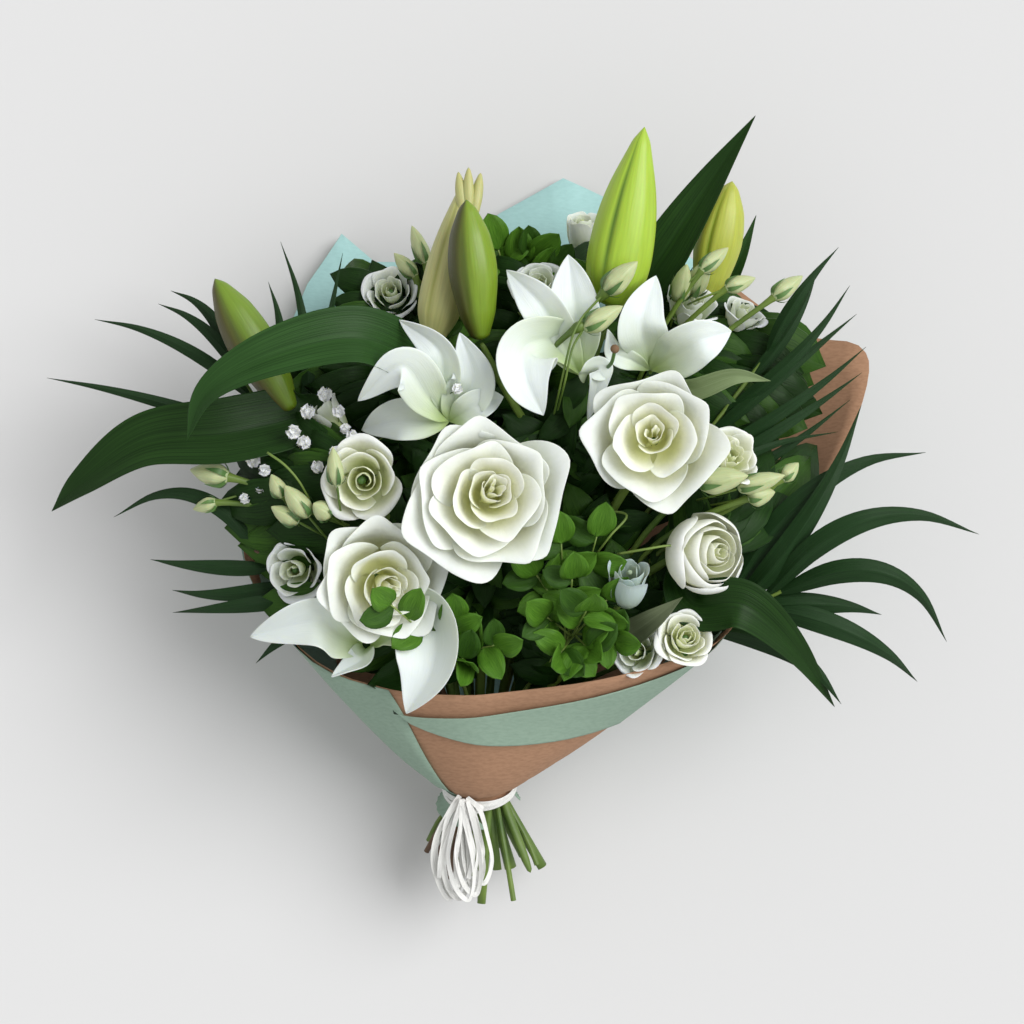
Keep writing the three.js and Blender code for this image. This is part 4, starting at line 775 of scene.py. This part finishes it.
def outline_at(stations, u):
    """The value at u of an outline through (place, value) stations, smooth but at its two ends."""
    places = [place for place, _ in stations]
    low = max(k for k, place in enumerate(places[:-1]) if place <= u)
    t = (u - places[low]) / (places[low + 1] - places[low])
    if 0 < low < len(places) - 2:
        return spline([value for _, value in stations[1:-1]], (low - 1 + t) / (len(places) - 3))
    return stations[low][1] + (stations[low + 1][1] - stations[low][1]) * t


def bud_solid(foot, tip, radius, rows, columns, outline, groove, turn=0.0, lobes=3, shade_side=0.0):
    """A bud from foot to tip, with grooves; tint is 1 deep in a groove, and painted shade darkens its left
    side, away from the light.
    """
    foot = Vector(foot)
    way = Vector(tip) - foot
    along = way.normalized()
    across = along.cross(Vector((0.05, 0.03, 1))).normalized()
    up = across.cross(along)
    shares = []

    def place(u, v):
        angle = math.pi * v + turn
        spot = math.exp(-(math.sin(0.5 * lobes * angle) / 0.13) ** 2)
        ridge = math.exp(-(math.cos(0.5 * lobes * angle) / 0.20) ** 2)
        middle = math.sin(math.pi * u)
        # Painted shade: the bud's left side, away from the light, takes the dark colour.
        away_from_light = min(1, max(0, -0.1 - 1.6 * math.cos(angle)))
        shares.append(max(spot * (0.35 + 0.65 * middle), shade_side * away_from_light))
        r = radius * outline_at(outline, u) * (1 - groove * spot * middle + 0.3 * groove * ridge)
        return foot + way * u + (across * math.cos(angle) + up * math.sin(angle)) * r
    obj = shaped_grid(rows, columns, place)
    tinted(obj, shares)
    modify(obj, "WELD", merge_threshold=WELD_WITHIN)
    return obj


def bud_material(name, light, dark):
    material, tree, shader = new_material(name, 0.42)
    shader.inputs["Subsurface Weight"].default_value = 0.15
    shader.inputs["Subsurface Scale"].default_value = 0.003
    tint = tree.nodes.new("ShaderNodeAttribute")
    tint.attribute_name = "tint"
    streaks = noise(tree, 4, 4, (14, 1, 1), on="UV")
    body = ramp(tree, streaks, [(0.25, tuple(0.8 * c for c in light)), (0.7, light)])
    paint(tree, shader, mixed(tree, tint.outputs["Fac"], body, dark))
    bump(tree, shader, streaks, 0.0004, 0.4)
    return material


for node, foot, tip, width, light, dark, turn in LILY_BUDS:
    material = bud_material(node + " skin", light, dark)
    outline = DRAWN if node in DRAWN_OUT else PLUMP
    # The middle and left buds get painted shade on their left side, away from the light.
    shade_side = 0.9 if node in ("lily_bud_middle", "lily_bud_left") else 0.0
    pieces = [bud_solid(foot, tip, width / 2, 40, 48, outline, 0.13, turn, 3, shade_side)]
    if node == "lily_bud_pale":
        for shift, height in ((-6, 2), (0, 4), (7, 0)):
            end = Vector(tip) + Vector((shift, 4 - 0.4 * abs(shift), height))
            start = Vector(tip) + Vector((0.3 * shift, -30, 4))
            pieces.append(bud_solid(start, end, 3.6, 16, 16, PLUMP, 0.15, shift))
    set_material(pieces, material)
    obj = joined(node + "_grooved", pieces)
    smooth(obj, 1)
    belongs(obj, "bud_green", node)

# ---- Large leaves ---------------------------------------------------------------------------
# Long strap leaves with parallel veins, dark and glossy above, that arch out of the flowers; two
# small pale ones among them.
LEAVES = [
    ("leaf_arched", [(-52, 86, 150), (-88, 99, 178), (-136, 88, 184), (-172, 68, 176), (-186, 40, 160)],
     31, (0, 0.3, 1)),
    ("leaf_broad", [(-123, 56, 118), (-165, 46, 132), (-212, 41, 130), (-250, 18, 112), (-272, 0, 95)],
     35, (0, 0.2, 1)),
    ("leaf_tall", [(70, 119, 92), (94, 159, 102), (118, 196, 112), (141, 230, 125)], 27, (-0.3, -0.2, 1)),
    ("leaf_low_right", [(104, -52, 142), (132, -53, 158), (162, -78, 138), (190, -115, 105)], 27,
     (0.2, 0, 1)),
    ("leaf_pale", [(101, 70, 158), (126, 77, 172), (148, 74, 162)], 12, (0, -0.3, 1)),
    ("leaf_rim", [(68, -70, 152), (82, -60, 163), (97, -48, 164)], 15, (0, 0.3, 1)),
    ("leaf_far_right", [(124, 130, 80), (135, 151, 88), (144, 175, 92)], 10, (0, 0, 1)),
]


def leaf_material(name, light, dark, roughness=0.42):
    """A leaf: parallel veins along it, between two greens."""
    material, tree, shader = new_material(name, roughness)
    veins = noise(tree, 5, 3, (11, 0.5, 1), on="UV")
    patches = noise(tree, 18, 2)
    lengthwise = ramp(tree, veins, [(0.3, dark), (0.65, light)])
    shade = ramp(tree, patches, [(0.3, (0.75, 0.8, 0.7)), (0.7, (1, 1, 1))])
    paint(tree, shader, mixed(tree, 1.0, lengthwise, shade, "MULTIPLY"))
    shader.inputs["Specular IOR Level"].default_value = 0.15
    bump(tree, shader, veins, 0.0006, 0.5)
    return material


leaf_dark = leaf_material("dark leaf", (0.028, 0.083, 0.017), (0.013, 0.043, 0.008))
# Partly painted shade: a deep green, made darker still to stand for the shade that these leaves lie in, as
# the broad leaf at the left and the inner leaves do.
leaf_deep_and_shaded = leaf_material("deep leaf", (0.017, 0.054, 0.008), (0.006, 0.024, 0.003))
leaf_mid = leaf_material("middle leaf", (0.047, 0.118, 0.014), (0.02, 0.063, 0.008), 0.4)
leaf_light = leaf_material("light leaf", (0.103, 0.237, 0.024), (0.04, 0.126, 0.009), 0.4)
leaf_pale = leaf_material("pale leaf", (0.237, 0.3, 0.158), (0.158, 0.221, 0.095), 0.5)
leaf_grey = leaf_material("grey leaf", (0.134, 0.158, 0.095), (0.087, 0.103, 0.055), 0.5)
palm_green = leaf_material("palm leaflet", (0.017, 0.052, 0.014), (0.006, 0.024, 0.006), 0.4)
LEAF_FINISH = {"leaf_pale": leaf_pale, "leaf_rim": leaf_grey, "leaf_broad": leaf_deep_and_shaded,
               "leaf_tall": leaf_deep_and_shaded, "leaf_low_right": leaf_deep_and_shaded}
PALE_LEAVES = ("leaf_pale", "leaf_rim")
LEAF_THICK = 0.7


def foot_of(node, tip):
    """The point of a solid that is farthest from its tip, where it joins what carries it."""
    far = max(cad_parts[node].data.vertices, key=lambda c: (c.co - Vector(tip) * MM).length)
    return far.co / MM


for node, path, width, face in LEAVES:
    line = [foot_of(node, path[-1])] + path
    leaf = tongue(line, width, face, 44, 10, root=0.22, cup=0.3, wave=0.06, groove=0.10, curl=1.5,
                  widest=0.7, taper=1.0)
    joined(node + "_veined", set_material([leaf], LEAF_FINISH.get(node, leaf_dark)))
    modify(leaf, "SOLIDIFY", thickness=LEAF_THICK * MM, offset=0)
    smooth(leaf, 1)
    belongs(leaf, "leaf_light" if node in PALE_LEAVES else "leaf_dark", node)

# ---- Palm fronds ----------------------------------------------------------------------------
# Four parlour-palm fronds that fan out at both sides: narrow dark leaflets, folded along the
# middle, on thin stalks that run down to the tie.
# Each with its stalk's end, its leaflets' width, the share of the stalk that they root over, and
# the middle and tip of each, topmost first.
FRONDS = [
    ("frond_left_low", (-150, -22, 112), 9, 0.3, [
        ((-188, 10, 114), (-234, -3, 97)), ((-179, -32, 106), (-213, -28, 92)),
        ((-164, -48, 110), (-200, -46, 94)), ((-152, -54, 120), (-199, -59, 100)),
        ((-136, -76, 124), (-149, -88, 118)),
    ]),
    ("frond_left_up", (-168, 92, 96), 7.5, 0.3, [
        ((-178, 116, 94), (-202, 131, 82)), ((-180, 107, 100), (-209, 123, 86)),
        ((-204, 102, 99), (-247, 114, 82)), ((-138, 118, 95), (-144, 136, 86)),
        ((-229, 70, 110), (-274, 79, 92)), ((-126, 128, 93), (-137, 160, 82)),
        ((-106, 122, 92), (-100, 153, 86)),
    ]),
    ("frond_right_up", (152, 96, 112), 7.5, 0.5, [
        ((161, 117, 124), (190, 154, 117)), ((170, 121, 113), (179, 143, 107)),
        ((176, 103, 122), (197, 132, 112)), ((186, 103, 110), (202, 116, 102)),
        ((185, 78, 113), (208, 97, 98)), ((186, 68, 110), (206, 82, 93)),
        ((174, 47, 109), (199, 66, 94)), ((162, 42, 118), (191, 47, 103)),
    ]),
    ("frond_right_low", (156, -46, 126), 13.5, 0.2, [
        ((208, -34, 142), (255, -76, 100)), ((199, -6, 150), (273, -13, 107)),
        ((189, -67, 130), (239, -100, 90)), ((187, -54, 124), (216, -60, 107)),
        ((177, 7, 140), (203, 62, 120)), ((202, 28, 122), (243, 35, 98)),
        ((176, -92, 122), (192, -112, 112)),
    ]),
]
LEAFLET_THICK = 0.4


def stalk_line(node, end, step=14, room=6):
    """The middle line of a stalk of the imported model, from its cut foot up to its given end."""
    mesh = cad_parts[node].data
    spots = [c.co / MM for c in mesh.vertices]
    heights = [(spot - TIE).dot(AXIS) for spot in spots]
    pairs = [edge.vertices[:] for edge in mesh.edges]
    line = []
    top = 0.7 * (Vector(end) - TIE).dot(AXIS)
    height = min(heights) + 1
    while height < top:
        cut = [spots[a].lerp(spots[b], (height - heights[a]) / (heights[b] - heights[a]))
               for a, b in pairs if (heights[a] < height) != (heights[b] < height)]
        middle = sum(cut, Vector()) / max(1, len(cut))
        if cut and max((spot - middle).length for spot in cut) < room:
            line.append(middle)
        height += step
    line = line or [sum(spots, Vector()) / len(spots)]
    last, pieces = line[-1], max(1, round((Vector(end) - line[-1]).length / step))
    return line + [last.lerp(Vector(end), k / pieces) for k in range(1, pieces + 1)]


def arc(root, middle, tip):
    """Five points of the one smooth bow from root to tip through middle."""
    share = (middle - root).length / ((middle - root).length + (tip - middle).length)
    bow = (middle - root.lerp(tip, share)) / (share * (1 - share))
    return [root.lerp(tip, k / 4) + bow * k / 4 * (1 - k / 4) for k in range(5)]


for node, end, width, roots, leaflets in FRONDS:
    line = stalk_line(node, end)
    rod = round_rod(line, 1.7, 1.2, 40)
    stalk = set_material([rod], stem_brown if node == "frond_left_low" else stem_green)
    pieces = []
    for k, (middle, tip) in enumerate(leaflets):
        root = spline(line, 1 - roots * k / len(leaflets) - 0.016)
        pieces.append(tongue(arc(root, Vector(middle), Vector(tip)), width, (0, 0, 1), 24, 2,
                             widest=0.62, root=0.04, cup=-0.5, phase=k, taper=1.1))
    set_material(pieces, palm_green)
    obj = joined(node + "_leaflets", pieces)
    modify(obj, "SOLIDIFY", thickness=LEAFLET_THICK * MM, offset=0)
    obj = joined(node + "_leaflets", [obj] + stalk)
    bpy.ops.object.shade_smooth_by_angle(angle=0.5)
    belongs(obj, "palm", node)

# ---- Small greenery -------------------------------------------------------------------------
# Three sprays of twigs with bright oval leaves between the flowers, and the flowers' own leaves
# below them, which close the gaps down to the stems; these are partly their own deep green and
# partly painted shade, very dark to stand for the deep shade in the gaps.
SPRAYS = [
    ("greenery_front", (38, -68, 138), [
        (28, -18, 166), (48, -14, 168), (14, -36, 160), (54, -50, 160), (20, -60, 160),
        (28, -80, 158), (58, -73, 156), (42, -56, 172), (44, -78, 160), (34, -38, 172),
    ]),
    ("greenery_left", (-36, -76, 142), [
        (-68, -52, 190), (-10, -76, 158), (-34, -62, 158), (-28, -84, 154),
    ]),
    ("greenery_back", (0, 152, 88), [
        (-8, 154, 98), (12, 150, 98), (26, 140, 102), (-28, 134, 98), (30, 120, 108), (-32, 114, 106),
        (16, 104, 118),
    ]),
]


# Thickness of a model leaf, as a share of its length.
MODEL_THICK = 0.016
twig_green = plant_material("light twig", (0.126, 0.205, 0.032), (0.237, 0.332, 0.079))


def model_leaf(material, width, arch, rows, columns, wave, taper):
    """A leaf 1 long along +Y that faces +Z, the model for copies."""
    leaf = tongue(((0, 0, 0), (0, 0.5, arch), (0, 1, 0)), width, (0, 0, 1), rows, columns, widest=0.95,
                  root=0.08, cup=0.22, wave=wave, groove=0.10, taper=taper)
    modify(leaf, "SOLIDIFY", thickness=MODEL_THICK * MM, offset=0)
    return set_material([leaf], material)[0]


def copied(model, foot, tip, face, width=None):
    """A copy with a mesh of its own, from foot to tip, as much wider as longer if width is None."""
    along = Vector(tip) - Vector(foot)
    across = along.cross(Vector(face)).normalized()
    up = across.cross(along.normalized())
    size = width or along.length
    turn = Matrix((across * size, along, up * size)).transposed().to_4x4()
    obj = bpy.data.objects.new(model.name, model.data.copy())
    obj.data.transform(Matrix.Translation(Vector(foot) * MM) @ turn)
    bpy.context.scene.collection.objects.link(obj)
    return obj


def drop(*models):
    for model in models:
        bpy.data.objects.remove(model)


oval_models = [model_leaf(leaf_light, 0.68, 0.06, 8, 4, 0.05, 0.62),
               model_leaf(leaf_light, 0.62, 0.10, 8, 4, 0.12, 0.62),
               model_leaf(leaf_mid, 0.66, 0.03, 8, 4, 0.08, 0.62)]

for number, (node, end, ends) in enumerate(SPRAYS):
    draw = random.Random(number + 40)
    line = stalk_line(node, end)
    rods = [round_rod(line, 1.6, 1.1, 40)]
    leaves = []
    for top in ends:
        top = Vector(top)
        start = spline(line, draw.uniform(0.86, 0.99))
        middle = start.lerp(top, 0.5) + Vector((0, 0, draw.uniform(0, 5)))
        twig = [start, middle, top]
        rods.append(round_rod(twig, 0.8, 0.5, 14, 6))
        outward = (top - start).normalized()
        sideways = outward.cross(Vector((0, 0, 1))).normalized()
        for k, share in enumerate((0.55, 0.75, 0.95)):
            foot = spline(twig, share)
            way = (outward * draw.uniform(0.3, 0.9) + sideways * (1 if k % 2 else -1)
                   + Vector((0, 0, draw.uniform(-0.2, 0.5)))).normalized()
            face = (draw.uniform(-0.6, 0.6), draw.uniform(-0.6, 0.6), 1)
            leaves.append(copied(oval_models[k], foot, foot + way * draw.uniform(19, 26), face))
        end_tip = top + outward * draw.uniform(21, 27)
        leaves.append(copied(oval_models[0], top, end_tip, (0.2, -0.2, 1)))
    set_material(rods, twig_green)
    obj = joined(node + "_leaves", leaves + rods)
    smooth(obj, 0)
    belongs(obj, "leaf_light", node)
drop(*oval_models)

TENDRILS = [
    [(-140, 34, 150), (-130, 27, 154), (-122, 18, 154), (-116, 7, 148)],
    [(53, 1, 160), (65, -2, 170), (56, -13, 172), (48, -24, 160)],
    [(60, -24, 162), (76, -21, 170), (91, -19, 168), (104, -22, 158)],
]
tendrils = [round_rod(line, 0.8, 0.6, 20, 6) for line in TENDRILS]
tendrils = joined("tendrils", set_material(tendrils, twig_green))
smooth(tendrils, 0)
belongs(tendrils, "leaf_light")

STEM_TOPS = [
    ("stem_rose_centre", (-15, 7, 150)), ("stem_rose_right", (78, 40, 150)),
    ("stem_rose_left", (-74, -40, 140)), ("stem_lily_left", (-36, 52, 138)),
    ("stem_lily_middle", (40, 78, 134)), ("stem_lily_right", (80, 82, 124)),
    ("stem_lisianthus_rim", (65, -38, 140)), ("stem_lisianthus_right", (115, -23, 140)),
    ("stem_lisianthus_left", (-86, 18, 140)), ("stem_lisianthus_top", (16, 134, 100)),
    ("stem_lisianthus_far_right", (106, 124, 96)), ("stem_lisianthus_top_left", (-72, 131, 80)),
]
BED_STEP = 12
BED_ROWS = 20
BED_COLUMNS = 31


def inside_rim(x, y):
    """Whether a place seen from above lies within the paper's rim, drawn in most at the right."""
    inside = False
    share = 0.94 if x < 40 else 0.86
    middle = Vector((20, 30, 0))
    ring = [middle.lerp(p, share) for p in RIM]
    for p, q in zip(ring, ring[1:] + ring[:1]):
        if (p.y > y) != (q.y > y) and x < p.x + (y - p.y) * (q.x - p.x) / (q.y - p.y):
            inside = not inside
    return inside


carriers = []
for node, top in STEM_TOPS:
    line = stalk_line(node, top)
    carriers += [spline(line, 0.3 + 0.7 * k / 40) for k in range(41)]
draw = random.Random(12)
# Painted shade in part: most inner leaves take the darkest green, for the deep shade in the gaps.
bed_models = [model_leaf(leaf_deep_and_shaded, 0.46, 0.12, 6, 2, 0.1, 0.8),
              model_leaf(leaf_mid, 0.5, 0.08, 6, 2, 0.1, 0.8)]
bed = [[], []]
# Tips at the left rim, below the middle lily and at the front wall; the rest stand in a grid.
tips = [(-160, -22, 106), (-170, 8, 104), (-165, 34, 104), (-155, -46, 110), (-166, -8, 102),
        (-168, 22, 100), (-150, -2, 112), (-148, -34, 112), (-146, 14, 112), (-136, -14, 118), (36, 66, 128),
        (28, 58, 132), (43, 72, 126), (34, 50, 134), (-112, -74, 122), (-100, -86, 128), (-88, -92, 134),
        (-122, -62, 118), (-76, -96, 138)]
for spot in range(2 * BED_COLUMNS * BED_ROWS):
    layer = spot % 2
    x = -156 + BED_STEP * (spot // 2 % BED_COLUMNS)
    y = -85 + BED_STEP * (spot // 2 // BED_COLUMNS)
    if inside_rim(x, y):
        height = 124 - 24 * layer - 0.42 * max(0, y - 50) - 0.12 * abs(x)
        tips.append((x + 0.5 * BED_STEP * layer, y + 0.5 * BED_STEP * layer, height))
for tip in tips:
    tip = Vector(tip) + Vector([draw.uniform(-7, 7) for _ in range(3)])
    foot = min(carriers, key=lambda p: abs(math.hypot(p.x - tip.x, p.y - tip.y + 8) - 30)
               + 0.4 * abs(p.z - tip.z + 16))
    length = min(60, max(30, (tip - foot).length))
    foot = tip - (tip - foot).normalized() * length
    kind = 1 if draw.random() < 0.3 else 0
    bed[kind].append(copied(bed_models[kind], foot, tip, (draw.uniform(-0.4, 0.4), -0.2, 1)))
for kind, leaves in zip(("deep", "middle"), bed):
    inner = joined("inner_leaves_" + kind, leaves)
    smooth(inner, 0)
    belongs(inner, "leaf_dark")
drop(*bed_models)

# ---- Lisianthus side buds -------------------------------------------------------------------
# Slim cream-green buds beside the open lisianthus, each in a green calyx on its own thin branch.
SIDE_BUDS = [
    ((-163, 20, 128), (-184, 24, 124), 13), ((-131, 8, 148), (-137, 20, 150), 9),
    ((-171, 6, 120), (-184, 2, 116), 8), ((134, 8, 157), (148, 11, 159), 12),
    ((154, 18, 150), (163, 27, 148), 9), ((52, 124, 162), (69, 140, 167), 13),
    ((40, 103, 172), (60, 115, 172), 12), ((-50, 145, 95), (-58, 166, 92), 9),
    ((-56, 138, 92), (-68, 151, 90), 9), ((108, 138, 138), (123, 151, 132), 9),
    ((122, 128, 141), (138, 134, 139), 9), ((150, 123, 134), (166, 135, 130), 10),
    ((-116, -3, 150), (-128, 13, 157), 12), ((-122, -6, 146), (-136, 2, 150), 10),
    ((-104, -2, 152), (-112, 4, 160), 11), ((-99, 14, 170), (-101, 34, 174), 9),
    ((105, 16, 168), (130, 20, 176), 15), ((128, 13, 160), (152, 20, 162), 11),
    ((104, 126, 118), (112, 143, 138), 12), ((96, 122, 122), (100, 140, 140), 11),
]
# Where the two long stalks in the middle come up, over the lily below them, by their bud's number.
LONG_STALKS = {5: [(24, 56, 150), (28, 74, 174), (36, 104, 178)],
               6: [(26, 58, 150), (30, 74, 176), (34, 92, 178)]}
SIDE_BUD_OUTLINE = [(0, 0.0), (0.03, 0.45), (0.25, 0.95), (0.4, 1.0), (0.7, 0.72), (0.9, 0.3), (1, 0.0)]
side_bud_skin = bud_material("side bud", (0.49, 0.553, 0.284), (0.269, 0.363, 0.111))
bud = set_material([bud_solid((0, 0, 0), (0, 1, 0), 0.5, 20, 24, SIDE_BUD_OUTLINE, 0.12, 0, 5)],
                   side_bud_skin)
sepals = []
for k in range(SEPALS):
    turn = 2 * math.pi * k / SEPALS
    out = Vector((math.cos(turn), 0, math.sin(turn)))
    path = [Vector((0, 0, 0)), Vector((0, 0.2, 0)) + out * 0.53, Vector((0, 0.55, 0)) + out * 0.58]
    sepals.append(tongue(path, 0.24, out, 8, 2, cup=0.1))
model = joined("side_bud_model", bud + set_material(sepals, calyx_green))
pieces = []
for number, (foot, tip, width) in enumerate(SIDE_BUDS):
    foot, tip = Vector(foot), Vector(tip)
    way = (tip - foot).normalized()
    pieces.append(copied(model, foot, foot + (tip - foot) * 1.15, (0, 0, 1), width + 1))
    below = [foot - way * 24 - Vector((0, 0, 36)), foot - way * 15 - Vector((0, 0, 9))]
    stalk = round_rod(LONG_STALKS.get(number, below) + [foot], 0.7, 0.9, 18, 6)
    pieces += set_material([stalk], stem_green)
drop(model)
obj = joined("lisianthus_side_buds", pieces)
smooth(obj, 1)
belongs(obj, "bud_green")

# ---- Gypsophila -----------------------------------------------------------------------------
# A thin spray of white gypsophila at the left: tiny double flowers on hair-thin branches.
HEADS = [
    (-126, 46, 138), (-96, 48, 138), (-143, 24, 132), (-155, 8, 122), (-108, 68, 134),
    (-120, 40, 134), (-101, 34, 146), (-92, 44, 146), (-134, 12, 130), (-112, 26, 140),
    (-146, 14, 126), (-118, 58, 134), (-100, 58, 140), (-150, 30, 126), (-31, 70, 166),
]
HEAD_PETALS = 18
gypsophila_white = petal_material("gypsophila", (0.93, 0.94, 0.93), (0.90, 0.92, 0.88),
                                  (0.6, 0.7, 0.45))
line = stalk_line("gypsophila", (-120, 40, 128))
rods = [round_rod(line, 1.4, 0.7, 40)]
draw = random.Random(9)
core = added(bpy.ops.mesh.primitive_ico_sphere_add, subdivisions=1, radius=0.62 * MM)
petals = [tinted(core, [0.2] * len(core.data.vertices))]
for k in range(HEAD_PETALS):
    turn = k * GOLDEN_ANGLE
    rise = 1 - k / 10
    flat = math.sqrt(max(0.05, 1 - rise * rise))
    out = Vector((math.cos(turn) * flat, math.sin(turn) * flat, rise)).normalized()
    face = out.cross(Vector((math.sin(turn), 0.3, math.cos(turn)))) + 0.3 * out
    petals.append(tongue(((0, 0, 0), out * 0.5, out), 1.5, face, 3, 2, widest=1.6, cup=0.4))
model = joined("gypsophila_model", set_material(petals, gypsophila_white))
heads = []
for centre in HEADS:
    centre = Vector(centre)
    start = spline(line, draw.uniform(0.86, 0.99))
    low = start.lerp(centre, 0.75) - Vector((0, 0, 16))
    rods.append(round_rod([start, low, centre], 0.45, 0.3, 12, 5))
    way = Vector((draw.uniform(-1, 1), draw.uniform(-1, 1), 0)).normalized()
    top = centre + way * draw.uniform(3.2, 4.6)
    heads.append(copied(model, centre, top, (0.3 * way.y, -0.3 * way.x, 1)))
drop(model)
set_material(rods, stem_green)
obj = joined("gypsophila_heads", heads + rods)
smooth(obj, 0)
belongs(obj, "petal_white", "gypsophila")

# ---- Floor ----------------------------------------------------------------------------------
# A plain pale surface that takes the soft shadow.
FLOOR_TONE = (0.63, 0.63, 0.63, 1)

floor = added(bpy.ops.mesh.primitive_plane_add, size=12)
floor.name = "floor"
floor_material, tree, shader = new_material("floor", 0.9)
shader.inputs["Base Color"].default_value = FLOOR_TONE
floor.data.materials.append(floor_material)

# ---- Light ----------------------------------------------------------------------------------
# A broad soft light from high on the right and a pale surround, as in a studio tent.
KEY_ENERGY = 2.6
KEY_ANGLE = 0.75
SURROUND = 0.64

bpy.context.scene.view_settings.view_transform = "Standard"
key = bpy.data.objects.new("key", bpy.data.lights.new("key", "SUN"))
key.data.energy = KEY_ENERGY
key.data.angle = KEY_ANGLE
key.rotation_mode = "QUATERNION"
key.rotation_quaternion = Vector((-0.75, -0.32, -1.0)).to_track_quat("-Z", "Y")
bpy.context.scene.collection.objects.link(key)
world = bpy.data.worlds.new("surround")
world.use_nodes = True
world.node_tree.nodes["Background"].inputs["Color"].default_value = (1, 1, 1, 1)
world.node_tree.nodes["Background"].inputs["Strength"].default_value = SURROUND
bpy.context.scene.world = world
